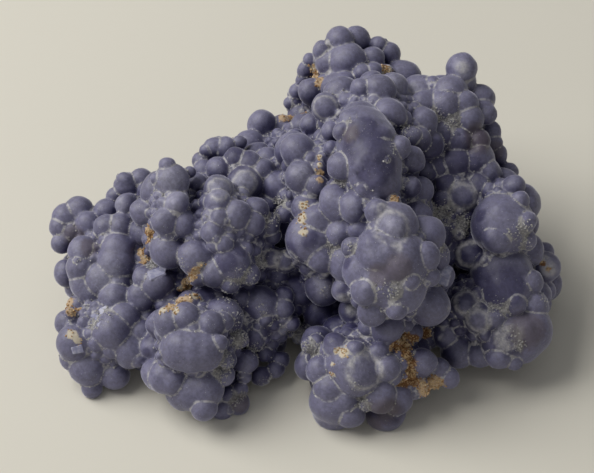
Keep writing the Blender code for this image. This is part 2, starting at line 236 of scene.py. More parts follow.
# Places read from the view: kind, then picture x, y and radius in picture pixels
MARKS: tuple[tuple[Mark, tuple], ...] = (
    (Mark.RUST, (
        (397, 346, 6), (406, 344, 8), (415, 339, 6), (424, 334, 6), (407, 353, 8), (409, 362, 7),
        (409, 371, 7), (405, 380, 7), (412, 379, 6), (406, 335, 5), (148, 240, 4), (543, 263, 3),
        (303, 112, 3),
    )),
    (Mark.TAN, (
        (391, 349, 4), (427, 331, 4), (400, 383, 4), (417, 381, 4), (65, 296, 6), (68, 304, 6),
        (72, 311, 5), (79, 310, 4), (148, 232, 7), (141, 252, 5), (145, 260, 5), (317, 75, 6),
        (320, 82, 5), (284, 117, 6), (291, 119, 4), (433, 393, 9), (428, 399, 7), (440, 388, 6),
        (395, 200, 5), (319, 172, 4), (320, 180, 4), (171, 307, 6), (184, 283, 4), (548, 268, 3),
        (178, 303, 7), (187, 300, 6), (191, 276, 6), (194, 270, 5), (188, 281, 5), (436, 384, 9),
        (427, 391, 8), (424, 383, 6),
    )),
    (Mark.CREAM, (
        (343, 352, 6), (337, 350, 4), (386, 71, 7), (72, 335, 6), (196, 295, 5), (163, 310, 5),
        (181, 289, 4), (199, 265, 4), (176, 311, 4), (187, 288, 4), (332, 364, 3), (333, 375, 3),
        (319, 157, 3), (319, 164, 3), (304, 205, 5), (303, 218, 6), (303, 232, 5), (77, 341, 4),
        (313, 68, 4),
    )),
    (Mark.DRUSE, (
        (238, 318, 10), (243, 340, 12), (232, 362, 12), (222, 374, 8), (256, 350, 9),
        (264, 386, 10), (248, 398, 11), (264, 309, 7), (240, 276, 12), (252, 284, 11),
        (228, 300, 9), (262, 262, 9), (325, 291, 7), (337, 248, 9), (350, 247, 6), (393, 291, 9),
        (380, 286, 7), (508, 337, 9), (520, 347, 6), (452, 120, 10), (440, 113, 8),
        (428, 202, 12), (441, 212, 12), (464, 226, 10), (521, 230, 12), (524, 246, 10),
        (281, 206, 9), (270, 218, 9), (298, 333, 9), (310, 350, 9), (300, 262, 8), (408, 130, 8),
        (392, 150, 6), (340, 183, 8), (500, 306, 10), (545, 300, 7), (445, 250, 8), (237, 400, 8),
        (352, 120, 6), (152, 265, 7), (180, 262, 8), (100, 318, 12), (356, 386, 8), (365, 404, 8),
    )),
    (Mark.BROWN, (
        (528, 330, 20), (480, 138, 16), (495, 150, 10), (384, 412, 18), (372, 425, 12),
        (75, 236, 12), (90, 246, 10), (240, 404, 10), (398, 268, 16), (380, 275, 12),
        (350, 132, 10),
    )),
    # Darkened places: less frosted stone, partly painted shade on hollows, gaps between the masses
    # and a few tops
    (Mark.BARE, (
        (450, 155, 26), (428, 150, 18), (474, 140, 16), (470, 170, 16), (440, 178, 14),
        (466, 292, 13), (480, 300, 14), (505, 286, 24), (440, 208, 14), (455, 238, 12),
        (486, 262, 8), (462, 330, 10), (490, 330, 8), (330, 335, 12), (345, 290, 8),
        (298, 320, 8), (272, 330, 10), (270, 290, 10), (290, 250, 10), (300, 262, 8),
        (346, 262, 8), (236, 330, 14), (258, 370, 16), (388, 412, 18), (240, 250, 8),
        (150, 335, 8), (146, 352, 6), (420, 190, 10), (410, 205, 8), (480, 215, 8),
        (362, 140, 26), (372, 175, 18), (235, 158, 16), (226, 262, 12), (450, 160, 16),
        (505, 340, 14), (468, 290, 14), (385, 165, 14), (388, 410, 12), (250, 345, 12),
        (448, 156, 24), (310, 240, 10), (478, 304, 10), (512, 345, 14), (235, 150, 12),
        (365, 128, 16),
    )),
    # Lightened places: frosted stone, partly painted light on tops and faces turned to the light
    (Mark.FROST, (
        (402, 80, 16), (412, 92, 10), (396, 226, 12), (232, 187, 13), (245, 184, 12),
        (220, 190, 12), (175, 185, 18), (168, 205, 12), (105, 275, 15), (461, 68, 9),
        (549, 268, 9), (300, 338, 10), (325, 290, 9), (118, 205, 10), (300, 170, 10),
        (280, 330, 6), (175, 175, 12),
    )),
    (Mark.PALE, (
        *ring(393, 227, 16, 2.5), *ring(382, 209, 4, 2), *ring(460, 234, 4, 2),
        *ring(508, 338, 6, 2), *ring(508, 338, 11, 3), *ring(466, 303, 11, 3),
        *ring(479, 320, 11, 3), *ring(245, 184, 12, 2), *ring(220, 189, 11, 2),
        *ring(272, 258, 9, 2), *ring(286, 260, 10, 2), *ring(326, 108, 12, 2),
        *ring(304, 110, 3, 2), *ring(462, 197, 13, 3), *ring(471, 254, 13, 3),
        *ring(365, 372, 17, 3), (457, 268, 3), (455, 278, 3), (455, 288, 3), (453, 298, 3),
        (449, 308, 3), (446, 318, 3), (443, 328, 3), (441, 338, 3), (440, 348, 3), (300, 345, 4),
        (303, 352, 4), (297, 338, 3), (398, 247, 4), (343, 300, 6), (350, 311, 5), (312, 268, 5),
        (325, 272, 5), (549, 268, 8), (544, 258, 6), (461, 66, 6),
    )),
)

# Low swellings on the broad globules: picture x, y and radius, and the rise as a share of it
LOW_LUMPS: tuple[tuple[float, float, float, float], ...] = (
    (366, 116, 15, 0.18), (373, 150, 14, 0.16), (351, 138, 12, 0.2), (377, 180, 12, 0.2),
    (356, 166, 10, 0.25), (386, 132, 9, 0.25), (344, 117, 9, 0.25), (362, 190, 8, 0.3),
    (373, 262, 12, 0.18), (402, 268, 12, 0.2), (385, 291, 10, 0.2), (366, 286, 9, 0.25),
    (411, 288, 9, 0.25), (371, 241, 8, 0.3), (389, 250, 9, 0.2), (452, 122, 8, 0.35),
    (437, 136, 8, 0.35), (466, 141, 8, 0.35), (446, 160, 8, 0.35), (471, 166, 8, 0.35),
    (426, 155, 8, 0.35), (456, 186, 7, 0.35), (482, 150, 7, 0.35), (418, 134, 7, 0.35),
    (433, 176, 7, 0.35), (402, 121, 9, 0.3), (417, 98, 10, 0.3), (407, 161, 8, 0.35),
    (500, 206, 9, 0.16), (515, 232, 9, 0.16), (490, 236, 8, 0.18), (498, 280, 10, 0.15),
    (515, 300, 8, 0.18), (181, 342, 8, 0.14), (205, 357, 8, 0.14), (316, 215, 7, 0.3),
    (343, 200, 7, 0.3), (330, 176, 6, 0.3), (528, 330, 8, 0.2), (512, 350, 8, 0.2),
    (434, 381, 8, 0.8), (424, 389, 7, 0.8),
)

# Flat-faced clear crystals: picture x and y, size in millimetres and turn in degrees
FACETS: tuple[tuple[float, float, float, float], ...] = (
    (157, 273, 3.6, 20), (163, 267, 2.2, 75), (440, 277, 3.4, -15), (447, 271, 2.6, 40),
    (97, 317, 2.4, 10), (104, 310, 2.0, 60), (101, 326, 1.8, -30), (77, 350, 2.2, 5),
)


@dataclass(frozen=True)
class Lobe:
    """One ellipsoid of the coarse form."""

    middle: Vector
    half_sizes: Vector

    @classmethod
    def from_millimetres(cls, middle: tuple, half_sizes: tuple) -> "Lobe":
        """Makes a lobe from its row in the list of lobes."""
        return cls(Vector(middle) * MM + TO_ORIGIN, Vector(half_sizes) * MM)

    def core(self) -> "Lobe":
        """Gives the slightly smaller lobe that fills the space behind its globules."""
        return Lobe(self.middle, self.half_sizes - Vector((CORE_DEPTH, CORE_DEPTH, CORE_DEPTH)))

    def scaled(self, point: Vector) -> Vector:
        """Gives the point in the space where the lobe is a unit sphere."""
        offset = point - self.middle
        return Vector([offset[axis] / self.half_sizes[axis] for axis in range(3)])

    def surface_point(self, direction: Vector) -> Vector:
        """Gives the point of the surface that lies along a unit direction of that space."""
        return self.middle + Vector([direction[axis] * self.half_sizes[axis] for axis in range(3)])

    def normal(self, point: Vector) -> Vector:
        """Gives the outward unit normal at a point of the surface."""
        scaled = self.scaled(point)
        return Vector([scaled[axis] / self.half_sizes[axis] for axis in range(3)]).normalized()

    def depth(self, point: Vector) -> float:
        """Gives roughly how deep a point lies inside the lobe, less than 0 outside."""
        return (1.0 - self.scaled(point).length) * min(self.half_sizes)

    def first_hit(
        self, origin: Vector, direction: Vector,
    ) -> tuple[float | None, tuple[float, float]]:
        """Finds where a ray enters the lobe.

        Args:
            origin: Where the ray starts.
            direction: Its unit direction.

        Returns:
            The distance at which it enters, or None, and its closest pass as a miss and a distance.
        """
        start = self.scaled(origin)
        step = Vector([direction[axis] / self.half_sizes[axis] for axis in range(3)])
        closest = -start.dot(step) / step.dot(step)
        miss = (start + step * closest).length
        if miss >= 1.0:
            return None, (miss, closest)
        return closest - math.sqrt((1.0 - miss * miss) / step.dot(step)), (miss, closest)


class View:
    """The view that the front globules and the marks were read from."""

    def __init__(self) -> None:
        """Sets the view's place and axes."""
        self.forward = Vector((0.0, math.cos(VIEW_ELEVATION), -math.sin(VIEW_ELEVATION)))
        self.up = Vector((0.0, math.sin(VIEW_ELEVATION), math.cos(VIEW_ELEVATION)))
        self.right = Vector((1.0, 0.0, 0.0))
        self.origin = VIEW_TARGET - self.forward * VIEW_DISTANCE
        self.pixels_per_slope = VIEW_DISTANCE / PIXEL

    def ray(self, x: float, y: float) -> Vector:
        """Gives the unit direction of the ray through a picture position."""
        across = (x - VIEW_SIZE[0] / 2) / self.pixels_per_slope
        upward = (VIEW_SIZE[1] / 2 - y) / self.pixels_per_slope
        return (self.forward + self.right * across + self.up * upward).normalized()

    def real_size(self, pixels: float, distance: float) -> float:
        """Gives the real length of some picture pixels at a distance."""
        return pixels * distance / self.pixels_per_slope


Globule = tuple[Vector, float]


def as_arrays(globules: Sequence[Globule]) -> tuple[np.ndarray, np.ndarray]:
    """Gives the middles and the radii of some globules as arrays."""
    middles = np.array([tuple(middle) for middle, _ in globules])
    return middles, np.array([radius for _, radius in globules])


def gaps_from(point: Vector, centres: np.ndarray, radii: np.ndarray) -> np.ndarray:
    """Gives the distances from a point to the globules' surfaces, less than 0 inside."""
    return np.linalg.norm(centres - np.array(point), axis=1) - radii


def keeps_apart(middle: Vector, radius: float, others: Iterable[Globule], spacing: float) -> bool:
    """Tells whether a globule keeps its distance from every other one.

    Args:
        middle: The globule's middle.
        radius: Its radius.
        others: The globules that are there already.
        spacing: The least distance of two middles, as a share of both radii.

    Returns:
        Whether there is room for it.
    """
    return all((middle - other).length > spacing * (radius + size) for other, size in others)


@dataclass
class GlobulePlan:
    """Places every globule: those read from the view, those of the far sides, and small ones."""

    view: View
    lobes: list[Lobe]
    filler_radii: tuple[float, float] = (0.9 * MM, 1.9 * MM)
    filler_tries: int = 1500
    filler_uncovered: float = 0.3 * MM
    filler_spacing: float = 0.8
    filler_sink: float = 0.25
    bud_radii: tuple[float, float] = (0.45 * MM, 1.0 * MM)
    bud_tries: int = 14
    bud_limit: int = 260
    bud_gap: float = 0.35 * MM
    bud_spacing: float = 1.2
    bud_sink: float = 0.35
    bud_lowest: float = 1.0 * MM
    lump_widest_share: float = 0.9
    chance: random.Random = field(default_factory=lambda: random.Random(SEED))

    def grow(self) -> list[Globule]:
        """Places the globules, kind by kind.

        Returns:
            Every globule as its middle and radius.
        """
        globules = self.scattered(self.seen())
        LOG.info("%d globules repeat the solid", len(globules))
        globules = self.fillers(globules)
        LOG.info("%d globules with the fillers", len(globules))
        globules = self.buds(globules)
        LOG.info("%d globules with the buds", len(globules))
        globules = globules + self.low_lumps(globules)
        LOG.info("%d globules with the low lumps", len(globules))
        return globules

    def seen(self) -> list[Globule]:
        """Lifts each globule read from the view onto the first lobe that its ray meets.

        Returns:
            The globules, largest first.
        """
        placed: list[list] = []
        for readings in SEEN_GLOBULES.values():
            for x, y, pixels in readings:
                direction = self.view.ray(x, y)
                distance, nearest = self.first_lobe(direction)
                entry = self.view.origin + direction * distance
                facing = max(0.0, -self.lobes[nearest].normal(entry).dot(direction))
                swell = SILHOUETTE_SWELL + FACING_SWELL * facing
                ring = self.view.real_size(pixels, distance)
                depth = ring * math.sqrt(swell * swell - 1.0)
                placed.append([entry + direction * depth, swell * ring, ring])
        placed.sort(key=lambda globule: -globule[1])
        for index, globule in enumerate(placed):
            self.bring_forward(globule, placed[:index])
        return [(middle, radius) for middle, radius, _ in placed]

    def first_lobe(self, direction: Vector) -> tuple[float, int]:
        """Finds the first lobe that a ray of the view meets, or else the one it passes closest.

        Args:
            direction: The ray's unit direction.

        Returns:
            How far along the ray it is, and its number.
        """
        hits = [lobe.first_hit(self.view.origin, direction) for lobe in self.lobes]
        entered = [(hit, index) for index, (hit, _) in enumerate(hits) if hit is not None]
        if entered:
            return min(entered)
        (_, distance), index = min((passing, index) for index, (_, passing) in enumerate(hits))
        return distance, index

    def bring_forward(self, globule: list, larger_ones: list[list]) -> None:
        """Keeps a globule that larger ones hide to its ring, and moves it forward until it shows.

        Args:
            globule: Its middle, its radius and its ring; the first two are changed.
            larger_ones: The globules placed before it.
        """
        middle, radius, ring = globule
        towards = (self.view.origin - middle).normalized()
        carriers = [each for each in larger_ones if radius < BUD_LARGEST_SHARE * each[1]]
        for larger_middle, larger_radius, _ in carriers:
            if (middle + towards * radius - larger_middle).length < larger_radius:
                radius = SILHOUETTE_SWELL * ring
        for larger_middle, larger_radius, _ in carriers:
            reach = larger_radius + BUD_SHOWS * radius
            front = middle + towards * radius - larger_middle
            if front.length >= reach:
                continue
            along = front.dot(towards)
            shift = -along + math.sqrt(along * along + reach * reach - front.length_squared)
            middle = middle + towards * shift
        globule[0] = middle
        globule[1] = radius

    def scattered(self, placed: list[Globule]) -> list[Globule]:
        """Covers the parts of the lobes that the view doesn't reach, as the solid does.

        Args:
            placed: The globules read from the view.

        Returns:
            Those and the scattered ones.
        """
        globules = list(placed)
        for lobe in self.lobes:
            directions = list(even_directions(SCATTER_TRIES, self.chance))
            self.chance.shuffle(directions)
            for direction in directions:
                point = lobe.surface_point(direction)
                others = (other for other in self.lobes if other is not lobe)
                if any(other.depth(point) > BURIED_DEPTH for other in others):
                    continue
                if lobe.normal(point).dot((self.view.origin - point).normalized()) > SCATTER_FACING:
                    continue
                radius = self.chance.uniform(*SCATTER_RADII)
                if point.z < LOWEST_SHARE * radius:
                    continue
                middle = point - lobe.normal(point) * (SCATTER_SINK * radius)
                if keeps_apart(middle, radius, globules, SCATTER_SPACING):
                    globules.append((middle, radius))
        return globules

    def fillers(self, globules: list[Globule]) -> list[Globule]:
        """Covers what still shows of the lobes' cores with small, low globules.

        Args:
            globules: The globules that repeat the solid.

        Returns:
            Those and the small ones.
        """
        centres, radii = as_arrays(globules)
        found: list[Globule] = []
        cores = [lobe.core() for lobe in self.lobes]
        for core in cores:
            for direction in even_directions(self.filler_tries, self.chance):
                point = core.surface_point(direction)
                inside = any(other.depth(point) > 0.0 for other in cores if other is not core)
                if inside or point.z < 0.0:
                    continue
                radius = self.chance.uniform(*self.filler_radii)
                if gaps_from(point, centres, radii).min() < -self.filler_uncovered:
                    continue
                if keeps_apart(point, radius, found, self.filler_spacing):
                    found.append((point - core.normal(point) * self.filler_sink * radius, radius))
        return globules + found

    def buds(self, globules: list[Globule]) -> list[Globule]:
        """Sets tiny globules where larger ones meet.

        Args:
            globules: The globules placed so far.

        Returns:
            Those and the tiny ones.
        """
        centres, radii = as_arrays(globules)
        found: list[Globule] = []
        order = list(range(len(globules)))
        self.chance.shuffle(order)
        for index in order:
            middle, radius = globules[index]
            for _ in range(self.bud_tries):
                direction = Vector([self.chance.gauss(0.0, 1.0) for _ in range(3)]).normalized()
                point = middle + direction * radius
                gaps = gaps_from(point, centres, radii)
                gaps[index] = 1.0
                if not 0.0 < gaps.min() < self.bud_gap or point.z < self.bud_lowest:
                    continue
                size = self.chance.uniform(*self.bud_radii)
                if keeps_apart(point, size, found, self.bud_spacing):
                    found.append((point - direction * self.bud_sink * size, size))
                    break
            if len(found) >= self.bud_limit:
                break
        return globules + found

    def low_lumps(self, globules: list[Globule]) -> list[Globule]:
        """Gives the low swellings read from the view, each raised from the globule that carries it.

        Args:
            globules: The globules that carry them.

        Returns:
            The swellings as more globules, sunk so that only their tops stand out.
        """
        found: list[Globule] = []
        for x, y, pixels, share in LOW_LUMPS:
            direction = self.view.ray(x, y)
            hits = []
            for index, (middle, radius) in enumerate(globules):
                offset = self.view.origin - middle
                along = offset.dot(direction)
                inside = along * along - offset.length_squared + radius * radius
                if inside > 0.0:
                    hits.append((-along - math.sqrt(inside), index))
            distance, index = min(hits)
            middle, carrier = globules[index]
            top = self.view.origin + direction * distance
            ring = min(self.view.real_size(pixels, distance), self.lump_widest_share * carrier)
            rise = share * ring
            sunk = carrier - math.sqrt(carrier * carrier - ring * ring) + rise
            radius = (sunk * sunk + ring * ring) / (2.0 * sunk)
            found.append((top - (top - middle).normalized() * (radius - rise), radius))
        return found


def even_directions(count: int, chance: random.Random) -> Iterator[Vector]:
    """Gives unit directions spread evenly over a sphere, each turned a little at random.

    Args:
        count: How many directions.
        chance: The seeded source of the small turns.

    Returns:
        The directions, from the top down.
    """
    golden = math.pi * (3.0 - math.sqrt(5.0))
    for index in range(count):
        height = 1.0 - 2.0 * (index + 0.5) / count
        angle = index * golden + chance.uniform(-SCATTER_TURN, SCATTER_TURN)
        ring = math.sqrt(1.0 - height * height)
        yield Vector((ring * math.cos(angle), ring * math.sin(angle), height))


class GrownField:
    """The distances from any point to its nearest globules, found cell by cell."""

    CELL = 8.0 * MM
    REACH = 4.0 * MM

    def __init__(self, globules: Sequence[Globule]) -> None:
        """Keeps the globules as arrays."""
        self.centres, self.radii = as_arrays(globules)

    def nearest(self, points: np.ndarray, count: int) -> tuple[np.ndarray, np.ndarray]:
        """Finds the nearest globules of each point.

        Args:
            points: The points, one a row.
            count: How many globules to find for each.

        Returns:
            Their indices, and the distances from the point to their surfaces, nearest first.
        """
        cells = np.floor(points / self.CELL).astype(int)
        _, members = np.unique(cells, axis=0, return_inverse=True)
        members = members.ravel()
        order = np.argsort(members, kind="stable")
        starts = np.searchsorted(members[order], np.arange(members.max() + 2))
        indices = np.zeros((len(points), count), dtype=int)
        gaps = np.full((len(points), count), 1.0)
        for cell in range(members.max() + 1):
            rows = order[starts[cell]:starts[cell + 1]]
            block = points[rows]
            low, high = block.min(axis=0), block.max(axis=0)
            middle, half = (low + high) / 2, np.linalg.norm(high - low) / 2
            far = np.linalg.norm(self.centres - middle, axis=1) - self.radii
            near = np.where(far < half + self.REACH)[0]
            if len(near) < count:
                near = np.argsort(far)[:count]
            offset = block[:, None, :] - self.centres[near][None, :, :]
            gap = np.linalg.norm(offset, axis=2) - self.radii[near]
            best = np.argsort(gap, axis=1)[:, :count]
            indices[rows] = near[best]
            gaps[rows] = np.take_along_axis(gap, best, axis=1)
        return indices, gaps


def mesh_points(mesh: bpy.types.Mesh) -> np.ndarray:
    """Gives a mesh's vertices as an array."""
    flat = np.empty(len(mesh.vertices) * 3)
    mesh.vertices.foreach_get("co", flat)
    return flat.reshape(-1, 3)


def move_points(mesh: bpy.types.Mesh, points: np.ndarray) -> None:
    """Moves a mesh's vertices to new places."""
    mesh.vertices.foreach_set("co", points.ravel())
    mesh.update()


def mesh_normals(mesh: bpy.types.Mesh) -> np.ndarray:
    """Gives a mesh's vertex normals as an array."""
    flat = np.empty(len(mesh.vertices) * 3)
    mesh.vertex_normals.foreach_get("vector", flat)
    return flat.reshape(-1, 3)


def mesh_tree(mesh: bpy.types.Mesh) -> BVHTree:
    """Gives the tree that finds where rays meet a mesh."""
    polygons = [tuple(face.vertices) for face in mesh.polygons]
    return BVHTree.FromPolygons([Vector(point) for point in mesh_points(mesh)], polygons)


def place_mesh(name: str, mesh: bpy.types.Mesh) -> bpy.types.Object:
    """Puts a mesh into the scene as an object."""
    holder = bpy.data.objects.new(name, mesh)
    bpy.context.scene.collection.objects.link(holder)
    return holder


def evaluated_mesh(obj: bpy.types.Object) -> bpy.types.Mesh:
    """Gives a new mesh of an object with its modifiers applied."""
    graph = bpy.context.evaluated_depsgraph_get()
    return bpy.data.meshes.new_from_object(obj.evaluated_get(graph), depsgraph=graph)


def noise_vectors(places: np.ndarray) -> np.ndarray:
    """Gives a smooth random vector for each place, the same on every run."""
    noise.seed_set(SEED)
    return np.array([tuple(noise.noise_vector(Vector(place))) for place in places])


def smooth_step(values: np.ndarray, low: float, high: float) -> np.ndarray:
    """Gives 0 below low, 1 above high, and a smooth rise between them."""
    share = np.clip((values - low) / (high - low), 0.0, 1.0)
    return share * share * (3.0 - 2.0 * share)


def copies_mesh(name: str, template: bpy.types.Mesh, places: Sequence[Matrix]) -> bpy.types.Mesh:
    """Joins many placed copies of one small closed mesh.

    Args:
        name: The new mesh's name.
        template: The mesh that is copied.
        places: Where each copy goes, with its turn and size.

    Returns:
        One mesh of all the copies.
    """
    points = mesh_points(template)
    faces = np.array([tuple(face.vertices) for face in template.polygons])
    spread = np.array([np.array(place) for place in places])
    placed = np.einsum("nij,vj->nvi", spread[:, :3, :3], points) + spread[:, None, :3, 3]
    shifts = np.arange(len(places))[:, None, None] * len(points)
    mesh = bpy.data.meshes.new(name)
    mesh.from_pydata(placed.reshape(-1, 3), [], (faces[None] + shifts).reshape(-1, faces.shape[1]))
    mesh.update()
    return mesh


@dataclass
class GlobuleSkin:
    """The fine outer surface of the whole mass."""

    view: View
    lobes: list[Lobe]
    globules: list[Globule]
    fields: GrownField = field(init=False)
    tree: BVHTree = field(init=False)
    ball_detail: int = 3
    grid: float = 0.36 * MM
    quick_grid: float = 0.6 * MM
    triangles: int = 196000
    joint_softness: float = 0.09 * MM
    candidates: int = 6
    projections: int = 3
    warp_reach: float = 0.42 * MM
    warp_scale: float = 1.0 / (5.5 * MM)
    fine_warp_reach: float = 0.14 * MM
    fine_warp_scale: float = 1.0 / (2.2 * MM)
    lump_reach: float = 0.05 * MM
    lump_scale: float = 1.0 / (1.3 * MM)
    one_piece_share: float = 0.75
    widest_seam: float = 4.0 * MM
    tone_reach: float = 0.5 * MM
    exposure_reach: float = 20.0 * MM
    exposure_rays: int = 14
    exposure_start: float = 0.05 * MM
    exposure_lean: float = 0.1
    mark_edge: tuple[float, float] = (0.45, 1.45)
    steepness_floor: float = 0.2
    unwarped_foot: tuple[float, float] = (0.05 * MM, 2.5 * MM)
    rough_patch_gain: float = 3.0

    def build(self) -> bpy.types.Object:
        """Makes the surface and its masks, and lets it stand for the solid.

        Returns:
            The skin.
        """
        self.fields = GrownField(self.globules)
        holder = place_mesh("globule_skin", self.lumps())
        self.join(holder)
        self.settle(holder.data)
        self.cut_flat(holder)
        self.thin(holder)
        mesh = holder.data
        mesh.shade_smooth()
        self.masks(mesh)
        self.roughen(mesh)
        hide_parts(NODE)
        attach(holder, "root")
        LOG.info("globule_skin: %d triangles", len(mesh.polygons))
        return holder

    def lumps(self) -> bpy.types.Mesh:
        """Copies a ball to the core of every lobe and to every globule.

        Returns:
            One mesh of them all, still overlapping.
        """
        ball = bmesh.new()
        bmesh.ops.create_icosphere(ball, subdivisions=self.ball_detail, radius=1.0)
        template = bpy.data.meshes.new("unit_globule")
        ball.to_mesh(template)
        ball.free()
        cores = [lobe.core() for lobe in self.lobes]
        places = [Matrix.LocRotScale(core.middle, None, core.half_sizes) for core in cores]
        for middle, radius in self.globules:
            places.append(Matrix.LocRotScale(middle, None, Vector((radius, radius, radius))))
        mesh = copies_mesh("globule_skin", template, places)
        bpy.data.meshes.remove(template)
        return mesh

    def join(self, holder: bpy.types.Object) -> None:
        """Joins the lumps into one closed skin and drops the closed voids between them.

        Args:
            holder: The object that carries the lumps, and then the skin.
        """
        joining = holder.modifiers.new("grown_together", "REMESH")
        joining.mode = "VOXEL"
        joining.voxel_size = self.grid
        skin = evaluated_mesh(holder)
        holder.modifiers.clear()
        keep_largest_shell(skin)
        holder.data = skin

    def settle(self, mesh: bpy.types.Mesh) -> None:
        """Moves each vertex onto the union of the globules, softly joined where two meet.

        Args:
            mesh: The skin, which is changed.
        """
        points = mesh_points(mesh)
        indices, gaps = self.fields.nearest(points, self.candidates)
        near = np.where(gaps[:, 0] < self.grid)[0]
        moved = points[near]
        centres = self.fields.centres[indices[near]]
        radii = self.fields.radii[indices[near]]
        for _ in range(self.projections):
            offset = moved[:, None, :] - centres
            length = np.linalg.norm(offset, axis=2)
            gap = length - radii
            lowest = gap.min(axis=1, keepdims=True)
            weight = np.exp(-(gap - lowest) / self.joint_softness)
            total = weight.sum(axis=1, keepdims=True)
            height = lowest[:, 0] - self.joint_softness * np.log(total[:, 0])
            slope = ((weight / total)[:, :, None] * offset / length[:, :, None]).sum(axis=1)
            steepness = np.maximum((slope * slope).sum(axis=1), self.steepness_floor)
            step = np.clip(height / steepness, -self.grid, self.grid)
            moved = moved - slope * step[:, None]
        points[near] = moved
        move_points(mesh, points)

    def cut_flat(self, holder: bpy.types.Object) -> None:
        """Ends the lowest lumps flat at the surface that the mass rests on.

        Args:
            holder: The object that carries the skin.
        """
        place = (0.0, 0.0, -SPECIMEN_WIDTH)
        bpy.ops.mesh.primitive_cube_add(size=2.0 * SPECIMEN_WIDTH, location=place)
        cutter = bpy.context.object
        cut = holder.modifiers.new("flat_feet", "BOOLEAN")
        cut.operation = "DIFFERENCE"
        cut.solver = "MANIFOLD"
        cut.object = cutter
        holder.data = evaluated_mesh(holder)
        holder.modifiers.clear()
        bpy.data.objects.remove(cutter)

    def thin(self, holder: bpy.types.Object) -> None:
        """Leaves the wanted number of triangles, close together where the form bends.

        Args:
            holder: The object that carries the skin.
        """
        now = sum(len(face.vertices) - 2 for face in holder.data.polygons)
        thinning = holder.modifiers.new("thinned", "DECIMATE")
        thinning.ratio = min(1.0, self.triangles / now)
        thinning.use_collapse_triangulate = True
        holder.data = evaluated_mesh(holder)
        holder.modifiers.clear()

    def masks(self, mesh: bpy.types.Mesh) -> None:
        """Writes what the finish reads at each vertex.

        Args:
            mesh: The skin.
        """
        points = mesh_points(mesh)
        indices, gaps = self.fields.nearest(points, self.candidates)
        chance = np.random.default_rng(SEED)
        tones = chance.random(len(self.globules))
        share = np.exp(-(gaps - gaps[:, :1]) / self.tone_reach)
        write_mask(mesh, "tone", (share * tones[indices]).sum(axis=1) / share.sum(axis=1))
        write_mask(mesh, "seam", self.seam(indices, gaps) / MM)
        write_mask(mesh, "exposure", self.exposure(mesh))
        self.tree = mesh_tree(mesh)
        for kind, readings in MARKS:
            write_mask(mesh, kind.value, self.mark_mask(points, self.tree, readings))

    def seam(self, indices: np.ndarray, gaps: np.ndarray) -> np.ndarray:
        """Measures how far each vertex is from where its globule meets another.

        Args:
            indices: The nearest globules of each vertex.
            gaps: Their distances, nearest first.

        Returns:
            How much nearer the first is than the second that isn't almost one with it.
        """
        centres, radii = self.fields.centres[indices], self.fields.radii[indices]
        apart = np.linalg.norm(centres - centres[:, :1], axis=2)
        one_piece = apart < self.one_piece_share * np.maximum(radii, radii[:, :1])
        behind = np.where(one_piece, np.inf, gaps - gaps[:, :1])
        return np.minimum(behind.min(axis=1), self.widest_seam)

    def mark_mask(self, points: np.ndarray, tree: BVHTree, readings: Iterable[tuple]) -> np.ndarray:
        """Measures how much each vertex belongs to one kind of mark.

        Args:
            points: The skin's vertices.
            tree: The skin, for finding where a ray meets it.
            readings: The marks' picture places and radii.

        Returns:
            0 away from the marks, 1 at their middles.
        """
        mask = np.zeros(len(points))
        for x, y, pixels in readings:
            place = tree.ray_cast(self.view.origin, self.view.ray(x, y))
            if place[0] is None:
                continue
            radius = self.view.real_size(pixels, place[3])
            away = np.linalg.norm(points - np.array(place[0]), axis=1)
            inner, outer = (share * radius for share in self.mark_edge)
            mask = np.maximum(mask, 1.0 - smooth_step(away, inner, outer))
        return mask

    def exposure(self, mesh: bpy.types.Mesh) -> np.ndarray:
        """Measures how open the surface is: the share of outward rays that leave it.

        Args:
            mesh: The skin.

        Returns:
            0 deep in a recess to 1 in the open, for each vertex.
        """
        points, normals = mesh_points(mesh), mesh_normals(mesh)
        tree = mesh_tree(mesh)
        rays = list(even_directions(2 * self.exposure_rays, random.Random(SEED)))
        leans = normals @ np.array([tuple(ray) for ray in rays]).T
        starts = points + normals * self.exposure_start
        found = np.zeros(len(points))
        for row in range(len(points)):
            start = Vector(starts[row])
            outward = np.where(leans[row] > self.exposure_lean)[0]
            hits = [tree.ray_cast(start, rays[ray], self.exposure_reach)[0] for ray in outward]
            clear = [ray for ray, hit in zip(outward, hits) if hit is None]
            found[row] = leans[row][clear].sum() / leans[row][outward].sum()
        return self.smoothed(mesh, found)

    def smoothed(self, mesh: bpy.types.Mesh, values: np.ndarray, passes: int = 3) -> np.ndarray:
        """Averages the values of each vertex with those of its neighbours.

        Args:
            mesh: The mesh that has the vertices.
            values: One value a vertex.
            passes: How often it is done.

        Returns:
            The smoother values.
        """
        edges = np.empty(len(mesh.edges) * 2, dtype=int)
        mesh.edges.foreach_get("vertices", edges)
        first, second = edges.reshape(-1, 2).T
        for _ in range(passes):
            total, count = values.copy(), np.ones(len(values))
            np.add.at(total, first, values[second])
            np.add.at(total, second, values[first])
            np.add.at(count, first, 1.0)
            np.add.at(count, second, 1.0)
            values = total / count
        return values

    def roughen(self, mesh: bpy.types.Mesh) -> None:
        """Takes the globules a little out of round and gives the skin its fine lumps.

        Args:
            mesh: The skin, which is changed.
        """
        points, normals = mesh_points(mesh), mesh_normals(mesh)
        free = smooth_step(points[:, 2], *self.unwarped_foot)
        warp = self.warp_reach * noise_vectors(points * self.warp_scale)
        warp += self.fine_warp_reach * noise_vectors(points * self.fine_warp_scale)
        lumps = np.array([noise.noise(Vector(point) * self.lump_scale) for point in points])
        rough = sum(read_mask(mesh, kind.value) for kind in (Mark.TAN, Mark.RUST, Mark.CREAM))
        depth = self.lump_reach * (1.0 + self.rough_patch_gain * np.clip(rough, 0.0, 1.0))
        moved = points + free[:, None] * (warp + normals * (depth * lumps)[:, None])
        move_points(mesh, moved)


